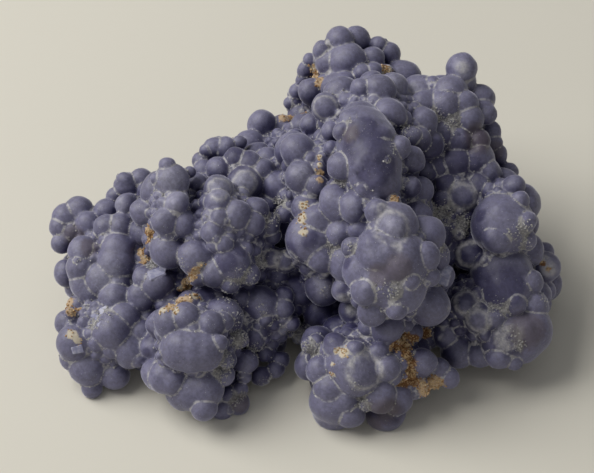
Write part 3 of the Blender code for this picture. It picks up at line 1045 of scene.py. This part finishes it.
def keep_largest_shell(mesh: bpy.types.Mesh) -> None:
    """Drops every separate shell of a mesh but the largest.

    Args:
        mesh: The mesh, which is changed.
    """
    edges = np.empty(len(mesh.edges) * 2, dtype=int)
    mesh.edges.foreach_get("vertices", edges)
    edges = edges.reshape(-1, 2)
    label = np.arange(len(mesh.vertices))
    while True:
        low = np.minimum(label[edges[:, 0]], label[edges[:, 1]])
        fresh = label.copy()
        np.minimum.at(fresh, edges[:, 0], low)
        np.minimum.at(fresh, edges[:, 1], low)
        fresh = fresh[fresh]
        if np.array_equal(fresh, label):
            break
        label = fresh
    names, counts = np.unique(label, return_counts=True)
    keep = label == names[np.argmax(counts)]
    if keep.all():
        return
    bm = bmesh.new()
    bm.from_mesh(mesh)
    bmesh.ops.delete(bm, geom=[vert for vert in bm.verts if not keep[vert.index]], context="VERTS")
    bm.to_mesh(mesh)
    bm.free()


def write_mask(mesh: bpy.types.Mesh, name: str, values: np.ndarray) -> None:
    """Stores one value a vertex under a name."""
    mask = mesh.attributes.new(name, "FLOAT", "POINT")
    mask.data.foreach_set("value", values.astype(np.float32))


def read_mask(mesh: bpy.types.Mesh, name: str) -> np.ndarray:
    """Reads the values stored under a name."""
    values = np.empty(len(mesh.vertices), dtype=np.float32)
    mesh.attributes[name].data.foreach_get("value", values)
    return values


def crystal_template(name: str, kind: "CrystalShape") -> bpy.types.Mesh:
    """Makes one small closed crystal of unit size.

    Args:
        name: The mesh's name.
        kind: Which shape it has.

    Returns:
        The triangulated mesh, centred on the origin.
    """
    bm = bmesh.new()
    if kind is CrystalShape.OCTAHEDRON:
        places = ((1, 0, 0), (0, 1, 0), (-1, 0, 0), (0, -1, 0), (0, 0, 1), (0, 0, -1))
        corners = [bm.verts.new(place) for place in places]
        for side in range(4):
            first, second = corners[side], corners[(side + 1) % 4]
            bm.faces.new((first, second, corners[4]))
            bm.faces.new((second, first, corners[5]))
    else:
        bmesh.ops.create_cube(bm, size=UNIT_CUBE_SIDE)
        bmesh.ops.triangulate(bm, faces=bm.faces[:])
    mesh = bpy.data.meshes.new(name)
    bm.to_mesh(mesh)
    bm.free()
    return mesh


class CrystalShape(Enum):
    """Shapes of the small crystals."""

    OCTAHEDRON = "octahedron"
    CUBE = "cube"


@dataclass
class CrystalCrust:
    """Many small crystals that stand on the skin where a mask says so."""

    name: str
    skin: bpy.types.Object
    finish: bpy.types.Material
    kinds: tuple[Mark, ...]
    shape: CrystalShape
    count: int
    radii: tuple[float, float]
    seam_share: float = 0.0
    sunk: float = 0.35
    nudge: float = 0.10 * MM
    lowest: float = 1.8
    stretch: tuple[float, float] = (0.75, 1.25)
    least: float = 0.04
    away_from_seams: float = 0.3
    seam_gain: float = 0.7
    seam_reach: tuple[float, float] = (0.3, 1.5)
    bare_seam_reach: tuple[float, float] = (0.12, 0.5)
    open_from: tuple[float, float] = (0.1, 0.5)
    foot: tuple[float, float] = (0.5 * MM, 2.0 * MM)
    seed: int = 1

    def build(self) -> bpy.types.Object:
        """Sets the crystals on the skin.

        Returns:
            The crust as one object.
        """
        mesh = self.skin.data
        chance = np.random.default_rng(self.seed)
        weight = self.weights(mesh)
        chosen = chance.choice(len(weight), size=self.count, p=weight / weight.sum())
        points, normals = mesh_points(mesh), mesh_normals(mesh)
        places = []
        for row in chosen:
            radius = chance.uniform(*self.radii)
            nudge = Vector(chance.normal(0.0, self.nudge, 3))
            middle = Vector(points[row]) + nudge - Vector(normals[row]) * (self.sunk * radius)
            middle.z = max(middle.z, self.lowest * radius)
            turn = Vector(chance.normal(0.0, 1.0, 3)).to_track_quat("Z", "Y")
            size = Vector(radius * chance.uniform(*self.stretch, 3))
            places.append(Matrix.LocRotScale(middle, turn, size))
        template = crystal_template("unit_crystal", self.shape)
        crust = place_mesh(self.name, copies_mesh(self.name, template, places))
        bpy.data.meshes.remove(template)
        crust.data.materials.append(self.finish)
        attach(crust, "root")
        LOG.info("%s: %d crystals", self.name, len(places))
        return crust

    def weights(self, mesh: bpy.types.Mesh) -> np.ndarray:
        """Gives how likely a crystal is at each vertex of the skin.

        Args:
            mesh: The skin with its masks.

        Returns:
            One weight a vertex.
        """
        seam, exposure = read_mask(mesh, "seam"), read_mask(mesh, "exposure")
        weight = sum(np.clip(read_mask(mesh, kind.value), 0.0, 1.0) for kind in self.kinds)
        near = 1.0 - smooth_step(seam, *self.seam_reach)
        weight = weight * (self.away_from_seams + self.seam_gain * near)
        near = 1.0 - smooth_step(seam, *self.bare_seam_reach)
        weight = weight + self.seam_share * near * smooth_step(exposure, *self.open_from)
        free = smooth_step(mesh_points(mesh)[:, 2], *self.foot)
        return np.where(weight > self.least, weight, 0.0) * free


@dataclass
class PaleFacets:
    """The few flat-faced clear crystals that catch the light."""

    view: View
    tree: BVHTree
    finish: bpy.types.Material
    light_side: tuple[float, float, float] = (0.0, -0.45, 1.0)
    lean: float = 0.9
    proud: float = 0.03
    proportions: tuple[float, float] = (0.72, 0.6)
    unevenness: float = 0.07
    worn_edge: float = 0.07

    def build(self) -> bpy.types.Object:
        """Sets each crystal into the skin with a flat face towards the light.

        Returns:
            The crystals as one object.
        """
        bm = bmesh.new()
        chance = random.Random(SEED)
        uneven = self.unevenness
        for x, y, millimetres, turn in FACETS:
            place, normal, _, _ = self.tree.ray_cast(self.view.origin, self.view.ray(x, y))
            size = millimetres * MM
            facing = (Vector(self.light_side).normalized() + normal * self.lean).normalized()
            spin = Matrix.Rotation(math.radians(turn), 4, "Z")
            turned = facing.to_track_quat("Z", "Y").to_matrix().to_4x4() @ spin
            width, thickness = self.proportions
            shape = Matrix.Diagonal((size, width * size, thickness * size, 1.0))
            sunk = place - facing * (thickness / 2 - self.proud) * size
            placed = Matrix.Translation(sunk) @ turned @ shape
            made = bmesh.ops.create_cube(bm, size=1.0, matrix=placed)
            for vert in made["verts"]:
                vert.co += Vector([chance.uniform(-uneven, uneven) * size for _ in range(3)])
            edges = list({edge for vert in made["verts"] for edge in vert.link_edges})
            worn = self.worn_edge * size
            bmesh.ops.bevel(bm, geom=edges, offset=worn, segments=1, affect="EDGES")
        bmesh.ops.triangulate(bm, faces=bm.faces[:])
        mesh = bpy.data.meshes.new("pale_facets")
        bm.to_mesh(mesh)
        bm.free()
        facets = place_mesh("pale_facets", mesh)
        mesh.materials.append(self.finish)
        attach(facets, "root")
        LOG.info("pale_facets: %d crystals", len(FACETS))
        return facets


Colour = tuple[float, float, float, float]
Socket = bpy.types.NodeSocket
Value = float | Socket


@dataclass(frozen=True)
class Clouding:
    """Soft patches of noise: their size in millimetres, their detail, and the share they give.

    The share goes from least to most while the noise goes from low to high.
    """

    size: float
    detail: float
    low: float
    high: float
    least: float = 0.0
    most: float = 1.0


class Sheet:
    """A node tree that is being written: a material's or a group's."""

    def __init__(self, tree: bpy.types.NodeTree) -> None:
        """Keeps the tree that nodes are added to."""
        self.tree = tree

    def node(self, kind: str, inputs: dict | None = None, **settings: object) -> bpy.types.Node:
        """Adds a node.

        Args:
            kind: The node's type.
            inputs: Its inputs by name or number: a value, or an output that feeds it.
            **settings: Its properties.

        Returns:
            The node.
        """
        node = self.tree.nodes.new(kind)
        for name, value in settings.items():
            setattr(node, name, value)
        for key, value in (inputs or {}).items():
            self.feed(node.inputs[key], value)
        return node

    def feed(self, socket: Socket, value: Value | tuple) -> None:
        """Sets an input to a value, or links an output to it."""
        if isinstance(value, Socket):
            self.tree.links.new(value, socket)
        else:
            socket.default_value = value

    def group(self, tree: bpy.types.NodeTree, **inputs: Value) -> bpy.types.Node:
        """Places a shared group with its own values."""
        node = self.node("ShaderNodeGroup", node_tree=tree)
        for name, value in inputs.items():
            self.feed(node.inputs[name], value)
        return node

    def mask(self, name: str) -> Socket:
        """Reads one of the values kept at the skin's vertices."""
        return self.node("ShaderNodeAttribute", attribute_name=name).outputs["Fac"]

    def ramp(
        self, value: Value, low: float, high: float, start: float = 0.0, end: float = 1.0,
    ) -> Socket:
        """Turns a value between low and high smoothly into one between start and end."""
        inputs = {"Value": value, "From Min": low, "From Max": high, "To Min": start, "To Max": end}
        ramp = self.node("ShaderNodeMapRange", inputs, interpolation_type="SMOOTHSTEP")
        return ramp.outputs["Result"]

    def maths(self, operation: str, *values: Value) -> Socket:
        """Combines values with one operation."""
        made = self.node("ShaderNodeMath", dict(enumerate(values)), operation=operation)
        return made.outputs["Value"]

    def mix(
        self, share: Value, under: Colour | Socket, over: Colour | Socket, blend: str = "MIX",
    ) -> Socket:
        """Mixes two colours by a share."""
        inputs = {"Factor": share, 6: under, 7: over}
        made = self.node("ShaderNodeMix", inputs, data_type="RGBA", blend_type=blend)
        return made.outputs[2]

    def grain(self, millimetres: float, detail: float = 2.0, roughness: float = 0.5) -> Socket:
        """Gives noise with grains of a size, fixed to the object."""
        where = self.node("ShaderNodeTexCoord").outputs["Object"]
        return self.cloud(where, 1.0 / (millimetres * MM), detail, roughness)

    def cloud(self, where: Socket, scale: Value, detail: float, roughness: float = 0.5) -> Socket:
        """Gives noise at places of the object, at a scale."""
        inputs = {"Vector": where, "Scale": scale, "Detail": detail, "Roughness": roughness}
        return self.node("ShaderNodeTexNoise", inputs).outputs["Fac"]

    def patches(self, look: Clouding) -> Socket:
        """Gives the share that soft patches have of a place."""
        grain = self.grain(look.size, look.detail)
        return self.ramp(grain, look.low, look.high, look.least, look.most)

    def surface(self, inputs: dict) -> None:
        """Ends a material with a surface of these inputs."""
        surface = self.node("ShaderNodeBsdfPrincipled", inputs)
        output = self.node("ShaderNodeOutputMaterial")
        self.feed(output.inputs["Surface"], surface.outputs["BSDF"])

    def product(self, first: Value, second: Value) -> Socket:
        """Multiplies two values."""
        return self.maths("MULTIPLY", first, second)


def new_material(name: str) -> tuple[bpy.types.Material, Sheet]:
    """Starts an empty material and the sheet to write it on."""
    material = bpy.data.materials.new(name)
    material.use_nodes = True
    material.node_tree.nodes.clear()
    return material, Sheet(material.node_tree)


class SharedGroups:
    """The effects that more than one finish uses, each a group of nodes."""

    FINE_GRAIN = 0.16 * MM
    COARSE_GRAIN = 0.7 * MM
    SPECK_GRAIN = 0.42 * MM

    def __init__(self) -> None:
        """Makes the groups."""
        self.frost = self.make_frost()
        self.speckle = self.make_speckle()

    def start(
        self, name: str, inputs: dict[str, float], outputs: Sequence[str],
    ) -> tuple[Sheet, bpy.types.Node, bpy.types.Node]:
        """Starts a group with named numbers in and out.

        Args:
            name: The group's name.
            inputs: Its inputs with their usual values.
            outputs: Its outputs.

        Returns:
            The sheet to write it on, its input node and its output node.
        """
        tree = bpy.data.node_groups.new(name, "ShaderNodeTree")
        for key, value in inputs.items():
            socket = tree.interface.new_socket(key, in_out="INPUT", socket_type="NodeSocketFloat")
            socket.default_value = value
        for key in outputs:
            tree.interface.new_socket(key, in_out="OUTPUT", socket_type="NodeSocketFloat")
        return Sheet(tree), tree.nodes.new("NodeGroupInput"), tree.nodes.new("NodeGroupOutput")

    def make_frost(self) -> bpy.types.NodeTree:
        """Makes the fine sugary frost: a height for the relief and a tone for the colour.

        Returns:
            The group.
        """
        sheet, given, result = self.start(
            "frosted_grain", {"Grain": 1.0, "Depth": 1.0}, ("Height", "Tone"),
        )
        where = sheet.node("ShaderNodeTexCoord").outputs["Object"]
        fine = sheet.maths("DIVIDE", 1.0 / self.FINE_GRAIN, given.outputs["Grain"])
        coarse = sheet.maths("DIVIDE", 1.0 / self.COARSE_GRAIN, given.outputs["Grain"])
        cells = sheet.node("ShaderNodeTexVoronoi", {"Vector": where, "Scale": fine})
        cloud = sheet.cloud(where, coarse, 5.0, 0.65)
        height = sheet.maths("ADD", sheet.product(cells.outputs["Distance"], 0.35), cloud)
        sheet.feed(result.inputs["Height"], sheet.product(height, given.outputs["Depth"]))
        sheet.feed(result.inputs["Tone"], sheet.ramp(cloud, 0.3, 0.7))
        return sheet.tree

    def make_speckle(self) -> bpy.types.NodeTree:
        """Makes scattered pale specks: Cover is the share of the places that have one.

        Returns:
            The group.
        """
        sheet, given, result = self.start("pale_speckle", {"Grain": 1.0, "Cover": 0.2}, ("Mask",))
        where = sheet.node("ShaderNodeTexCoord").outputs["Object"]
        scale = sheet.maths("DIVIDE", 1.0 / self.SPECK_GRAIN, given.outputs["Grain"])
        inputs = {"Vector": where, "Scale": scale, "Randomness": 1.0}
        cells = sheet.node("ShaderNodeTexVoronoi", inputs)
        draw = sheet.node("ShaderNodeSeparateXYZ", {0: cells.outputs["Color"]}).outputs["X"]
        chosen = sheet.maths("LESS_THAN", draw, given.outputs["Cover"])
        ragged = sheet.cloud(where, sheet.product(scale, 2.6), 1.0)
        reach = sheet.maths("MULTIPLY_ADD", ragged, 0.6, cells.outputs["Distance"])
        spot = sheet.ramp(reach, 0.38, 0.58, 1.0, 0.0)
        sheet.feed(result.inputs["Mask"], sheet.product(spot, chosen))
        return sheet.tree


@dataclass(frozen=True)
class StoneFinish:
    """The frosted violet stone, with its dusty tops, pale rims and coloured places, painted shade
    in its recesses, and painted shade and light on some listed places.
    """

    groups: SharedGroups
    # Recess colour: partly the stone's cleaner, deeper colour there, partly painted shade
    deep: Colour = (0.022, 0.020, 0.070, 1.0)
    open_stone: Colour = (0.138, 0.134, 0.218, 1.0)
    # Colour of the darkened listed places, partly painted shade
    bare: Colour = (0.040, 0.036, 0.088, 1.0)
    dusty: Colour = (0.195, 0.187, 0.245, 1.0)
    # Colour of the lightened listed places, partly painted light
    frosted: Colour = (0.225, 0.22, 0.30, 1.0)
    rim: Colour = (0.40, 0.39, 0.40, 1.0)
    speck: Colour = (0.44, 0.43, 0.44, 1.0)
    crusted: Colour = (0.34, 0.33, 0.30, 1.0)
    tan: Colour = (0.47, 0.345, 0.225, 1.0)
    rust: Colour = (0.20, 0.095, 0.035, 1.0)
    cream: Colour = (0.54, 0.48, 0.38, 1.0)
    brown: Colour = (0.10, 0.072, 0.065, 1.0)
    ior: float = 1.434
    subsurface: float = 0.25
    subsurface_reach: float = 0.9 * MM
    subsurface_spread: tuple[float, float, float] = (0.9, 0.9, 1.3)
    sheen: float = 0.75
    sheen_roughness: float = 0.3
    sheen_tint: Colour = (0.86, 0.86, 1.0, 1.0)
    polish: tuple[float, float] = (0.40, 0.54)
    crust_roughness: float = 0.3
    recess_shade_ramp: tuple[float, float] = (0.1, 0.85)
    bare_and_shade_cover: float = 0.8
    shade_base: float = 0.64
    globule_shade: float = 0.22
    frost_shade: float = 0.38
    cloud_shade: float = 0.2
    dust_patches: Clouding = Clouding(2.6, 4.0, 0.3, 0.62, 0.45, 1.0)
    rim_patches: Clouding = Clouding(1.4, 3.0, 0.36, 0.6, 0.1, 1.0)
    pale_patches: Clouding = Clouding(0.8, 3.0, 0.3, 0.6, 0.35, 0.85)
    frost_and_light_patches: Clouding = Clouding(1.2, 4.0, 0.25, 0.6, 0.6, 1.0)
    speck_patches: Clouding = Clouding(3.5, 3.0, 0.45, 0.68, 0.015, 0.16)
    speck_height: float = 0.5
    druse_specks: float = 0.5
    crust_cover: float = 0.55
    brown_cover: float = 0.45
    dust_cover: float = 0.34
    rim_cover: float = 0.85
    rim_width: tuple[float, float] = (0.10, 0.34)
    frost_depth: float = 0.09 * MM
    frost_strength: float = 0.6
    crust_depth: float = 2.4
    mark_hardness: float = 0.45

    def build(self) -> bpy.types.Material:
        """Makes the material.

        Returns:
            The stone's material.
        """
        material, sheet = new_material("frosted_violet_stone")
        frost = sheet.group(self.groups.frost, Grain=1.0, Depth=1.0)
        tone = frost.outputs["Tone"]
        exposure, seam = sheet.mask("exposure"), sheet.mask("seam")
        breakup = sheet.grain(0.55, 5.0, 0.72)
        colour = self.stone_colour(sheet, exposure, seam, tone)

        crust = self.crust(sheet, seam, breakup)
        specks = self.specks(sheet, exposure)
        colour = sheet.mix(sheet.product(crust, self.crust_cover), colour, self.crusted)
        colour = sheet.mix(specks, colour, self.speck)
        brown = sheet.product(self.patchy(sheet, Mark.BROWN, breakup, 0.1), self.brown_cover)
        colour = sheet.mix(brown, colour, self.brown)
        covered = crust
        paints = {Mark.CREAM: self.cream, Mark.TAN: self.tan, Mark.RUST: self.rust}
        for kind, paint in paints.items():
            share = self.patchy(sheet, kind, breakup, self.mark_hardness)
            colour = sheet.mix(share, colour, paint)
            covered = sheet.maths("MAXIMUM", covered, share)

        rise = sheet.ramp(covered, 0.0, 1.0, 1.0, self.crust_depth)
        height = sheet.product(frost.outputs["Height"], rise)
        height = sheet.maths("MULTIPLY_ADD", specks, self.speck_height, height)
        bump = sheet.node("ShaderNodeBump", {
            "Strength": self.frost_strength, "Distance": self.frost_depth, "Height": height,
        })
        polished = sheet.ramp(tone, 0.0, 1.0, *self.polish)
        roughness = sheet.maths("MULTIPLY_ADD", covered, self.crust_roughness, polished)
        sheet.surface({
            "Base Color": colour, "Roughness": roughness, "IOR": self.ior,
            "Normal": bump.outputs["Normal"], "Subsurface Weight": self.subsurface,
            "Subsurface Radius": self.subsurface_spread, "Subsurface Scale": self.subsurface_reach,
            "Sheen Weight": self.sheen, "Sheen Roughness": self.sheen_roughness,
            "Sheen Tint": self.sheen_tint,
        })
        return material

    def specks(self, sheet: Sheet, exposure: Socket) -> Socket:
        """Gives the mask of the pale specks, thickest on the drusy places.

        Args:
            sheet: The material's sheet.
            exposure: How open the surface is.

        Returns:
            The mask.
        """
        druse, patches = sheet.mask(Mark.DRUSE.value), sheet.patches(self.speck_patches)
        cover = sheet.maths("MULTIPLY_ADD", druse, self.druse_specks, patches)
        coarse = sheet.group(self.groups.speckle, Grain=0.85, Cover=cover).outputs["Mask"]
        fine = sheet.group(self.groups.speckle, Grain=0.45, Cover=cover).outputs["Mask"]
        outside = sheet.ramp(exposure, 0.1, 0.5, 0.25, 0.8)
        return sheet.product(sheet.maths("MAXIMUM", coarse, fine), outside)

    def stone_colour(self, sheet: Sheet, exposure: Socket, seam: Socket, tone: Socket) -> Socket:
        """Colours the stone: deep in the recesses, partly painted shade; darker on the listed less
        frosted places, partly painted shade; lighter on the listed frosted places, partly painted
        light; dusty on top; pale where globules meet.

        Args:
            sheet: The material's sheet.
            exposure: How open the surface is.
            seam: How far the surface is from where two globules meet, in millimetres.
            tone: The shared frost's tone.

        Returns:
            The colour.
        """
        # Painted shade: the stone turns darker and deeper violet the more enclosed the surface is,
        # partly its own colour in the recesses
        colour = sheet.mix(sheet.ramp(exposure, *self.recess_shade_ramp), self.deep, self.open_stone)
        # Listed darkened places: less frosted stone, partly painted shade
        bare = sheet.maths("MULTIPLY_ADD", sheet.grain(1.8, 3.0), 0.8, sheet.mask(Mark.BARE.value))
        bare = sheet.ramp(bare, 0.5, 1.25, 0.0, self.bare_and_shade_cover)
        colour = sheet.mix(bare, colour, self.bare)
        normal = sheet.node("ShaderNodeNewGeometry").outputs["Normal"]
        upward = sheet.node("ShaderNodeSeparateXYZ", {0: normal}).outputs["Z"]
        dust = sheet.ramp(upward, 0.0, 0.95, 0.0, self.dust_cover)
        dust = sheet.product(dust, sheet.ramp(exposure, 0.3, 0.9))
        dust = sheet.product(dust, sheet.patches(self.dust_patches))
        dust = sheet.product(dust, sheet.maths("SUBTRACT", 1.0, bare))
        colour = sheet.mix(dust, colour, self.dusty)
        rim = sheet.ramp(seam, *self.rim_width, self.rim_cover, 0.0)
        rim = sheet.product(rim, sheet.patches(self.rim_patches))
        pale = sheet.product(sheet.mask(Mark.PALE.value), sheet.patches(self.pale_patches))
        rim = sheet.maths("MAXIMUM", sheet.product(rim, sheet.ramp(exposure, 0.12, 0.45)), pale)
        # Listed lightened places: frosted stone, partly painted light
        frosted = sheet.product(sheet.mask(Mark.FROST.value), sheet.patches(self.frost_and_light_patches))
        colour = sheet.mix(frosted, colour, self.frosted)
        colour = sheet.mix(rim, colour, self.rim)
        shade = sheet.maths("MULTIPLY_ADD", sheet.mask("tone"), self.globule_shade, self.shade_base)
        shade = sheet.maths("MULTIPLY_ADD", tone, self.frost_shade, shade)
        shade = sheet.maths("MULTIPLY_ADD", sheet.grain(5.0, 2.0), self.cloud_shade, shade)
        even = sheet.node("ShaderNodeCombineXYZ", {0: shade, 1: shade, 2: shade}).outputs["Vector"]
        return sheet.mix(1.0, colour, even, "MULTIPLY")

    def crust(self, sheet: Sheet, seam: Socket, breakup: Socket) -> Socket:
        """Gives the mask of the pale crusts that gather where globules meet.

        Args:
            sheet: The material's sheet.
            seam: How far the surface is from where two globules meet, in millimetres.
            breakup: The noise that breaks the crusts up.

        Returns:
            The mask.
        """
        zone = sheet.mask(Mark.DRUSE.value)
        amount = sheet.maths("MULTIPLY_ADD", zone, 0.36, sheet.ramp(seam, 0.10, 1.0, 0.72, 0.0))
        amount = sheet.maths("ADD", amount, sheet.maths("MULTIPLY_ADD", breakup, 2.3, -1.2))
        return sheet.product(sheet.ramp(amount, 0.54, 0.64), sheet.ramp(zone, 0.02, 0.25))

    def patchy(self, sheet: Sheet, kind: Mark, breakup: Socket, hardness: float) -> Socket:
        """Gives a mark's mask with a broken edge.

        Args:
            sheet: The material's sheet.
            kind: Which mark.
            breakup: The noise that breaks the edge.
            hardness: How sharply the mark ends, from 0 to 1.

        Returns:
            The mask.
        """
        ragged = sheet.maths("MULTIPLY_ADD", breakup, 1.1, -0.55)
        broken = sheet.maths("ADD", sheet.mask(kind.value), ragged)
        return sheet.ramp(broken, 0.5 * hardness, 0.85 - 0.3 * hardness)


@dataclass(frozen=True)
class CrystalFinish:
    """A plain crystal colour with the shared frost."""

    name: str
    groups: SharedGroups
    pale: Colour
    dark: Colour
    roughness: float = 0.35
    relief: float = 0.4
    relief_depth: float = 0.05 * MM
    ior: float = 1.434
    subsurface: float = 0.2
    subsurface_reach: float = 0.6 * MM
    paler: Clouding = Clouding(0.8, 2.0, 0.35, 0.65)
    speck_cover: float = 0.3
    speck_share: float = 0.4

    def build(self) -> bpy.types.Material:
        """Makes the material.

        Returns:
            The crystals' material.
        """
        material, sheet = new_material(self.name)
        frost = sheet.group(self.groups.frost, Grain=1.0, Depth=1.0)
        speckle = sheet.group(self.groups.speckle, Grain=1.0, Cover=self.speck_cover)
        colour = sheet.mix(sheet.patches(self.paler), self.dark, self.pale)
        specks = sheet.product(speckle.outputs["Mask"], self.speck_share)
        colour = sheet.mix(specks, colour, self.pale)
        height = frost.outputs["Height"]
        bump = sheet.node("ShaderNodeBump", {
            "Strength": self.relief, "Distance": self.relief_depth, "Height": height,
        })
        sheet.surface({
            "Base Color": colour, "Roughness": self.roughness, "IOR": self.ior,
            "Normal": bump.outputs["Normal"], "Subsurface Weight": self.subsurface,
            "Subsurface Radius": (1.0, 1.0, 1.0), "Subsurface Scale": self.subsurface_reach,
        })
        return material


@dataclass
class Studio:
    """The plain pale floor, the soft lights and the camera at the view's angle."""

    view: View
    floor_colour: Colour = (0.66, 0.635, 0.56, 1.0)
    floor_size: float = 4.0
    floor_roughness: float = 0.85
    world_colour: Colour = (0.97, 0.98, 1.0, 1.0)
    world_strength: float = 0.165
    horizon_share: float = 0.12
    zenith_share: float = 1.85
    lamp_colour: tuple[float, float, float] = (1.0, 0.985, 0.95)
    lamp_power: float = 13.7
    lamp_size: float = 0.85
    lamp_place: tuple[float, float, float] = (-0.74, 0.16, 0.82)
    fill_power: float = 0.9
    fill_size: float = 0.6
    fill_place: tuple[float, float, float] = (0.10, -0.92, 0.24)
    sensor_width: float = 36.0
    nearest: float = 0.01

    def build(self) -> None:
        """Makes the floor, lights and camera."""
        self.floor()
        self.world()
        self.lamp("overhead_softbox", self.lamp_power, self.lamp_size, self.lamp_place)
        self.lamp("front_fill", self.fill_power, self.fill_size, self.fill_place)
        self.camera()

    def floor(self) -> None:
        """Lays the floor."""
        bpy.ops.mesh.primitive_plane_add(size=self.floor_size)
        floor = bpy.context.object
        floor.name = "studio_floor"
        material = bpy.data.materials.new("pale_floor")
        material.use_nodes = True
        paint = material.node_tree.nodes["Principled BSDF"]
        paint.inputs["Base Color"].default_value = self.floor_colour
        paint.inputs["Roughness"].default_value = self.floor_roughness
        floor.data.materials.append(material)

    def world(self) -> None:
        """Surrounds the scene with soft light, weak at the horizon and strongest overhead."""
        world = bpy.data.worlds.new("soft_surround")
        world.use_nodes = True
        sheet = Sheet(world.node_tree)
        background = world.node_tree.nodes["Background"]
        background.inputs["Color"].default_value = self.world_colour
        where = sheet.node("ShaderNodeTexCoord").outputs["Generated"]
        height = sheet.node("ShaderNodeSeparateXYZ", {0: where}).outputs["Z"]
        horizon = self.horizon_share * self.world_strength
        zenith = self.zenith_share * self.world_strength
        strength = sheet.ramp(height, 0.0, 1.0, horizon, zenith)
        sheet.feed(background.inputs["Strength"], strength)
        bpy.context.scene.world = world

    def lamp(self, name: str, power: float, size: float, place: tuple[float, float, float]) -> None:
        """Hangs a square soft lamp that faces the mass.

        Args:
            name: The lamp's name.
            power: Its power in watts.
            size: Its side.
            place: Where it hangs.
        """
        light = bpy.data.lights.new(name, "AREA")
        light.energy = power
        light.size = size
        light.color = self.lamp_colour
        lamp = bpy.data.objects.new(name, light)
        lamp.location = place
        lamp.rotation_euler = (VIEW_TARGET - lamp.location).to_track_quat("-Z", "Y").to_euler()
        bpy.context.scene.collection.objects.link(lamp)

    def camera(self) -> None:
        """Sets the camera where the view was taken from."""
        lens = bpy.data.cameras.new("view_camera")
        lens.sensor_width = self.sensor_width
        lens.lens = self.sensor_width * self.view.pixels_per_slope / VIEW_SIZE[0]
        lens.clip_start = self.nearest
        camera = bpy.data.objects.new("view_camera", lens)
        camera.location = self.view.origin
        camera.rotation_euler = self.view.forward.to_track_quat("-Z", "Y").to_euler()
        bpy.context.scene.collection.objects.link(camera)
        bpy.context.scene.camera = camera
        bpy.context.scene.view_settings.view_transform = "Standard"


def main() -> None:
    """Builds the pieces in order and reports each one."""
    logging.basicConfig(level=logging.INFO, format="%(name)s: %(message)s")
    view = View()
    lobes = [Lobe.from_millimetres(*sizes) for sizes in LOBES.values()]
    globules = GlobulePlan(view, lobes).grow()
    groups = SharedGroups()
    stone = StoneFinish(groups).build()
    skin = GlobuleSkin(view, lobes, globules)
    body = skin.build()
    body.data.materials.clear()
    body.data.materials.append(stone)
    druse = CrystalFinish(
        "pale_druse", groups, (0.50, 0.49, 0.47, 1.0), (0.27, 0.26, 0.27, 1.0),
    ).build()
    sugar = CrystalFinish(
        "tan_sugar", groups, (0.60, 0.44, 0.25, 1.0), (0.28, 0.14, 0.05, 1.0),
    ).build()
    clear = CrystalFinish(
        "pale_clear", groups, (0.36, 0.36, 0.46, 1.0), (0.24, 0.24, 0.36, 1.0),
        roughness=0.25, relief=0.2,
    ).build()
    CrystalCrust(
        "drusy_grains", body, druse, (Mark.DRUSE,), CrystalShape.OCTAHEDRON,
        count=16000, radii=(0.10 * MM, 0.25 * MM), seam_share=0.12, seed=3,
    ).build()
    CrystalCrust(
        "tan_crystals", body, sugar, (Mark.TAN, Mark.RUST, Mark.CREAM), CrystalShape.CUBE,
        count=2200, radii=(0.10 * MM, 0.22 * MM), seed=5,
    ).build()
    PaleFacets(view, skin.tree, clear).build()
    Studio(view).build()


if __name__ == "__main__":
    main()
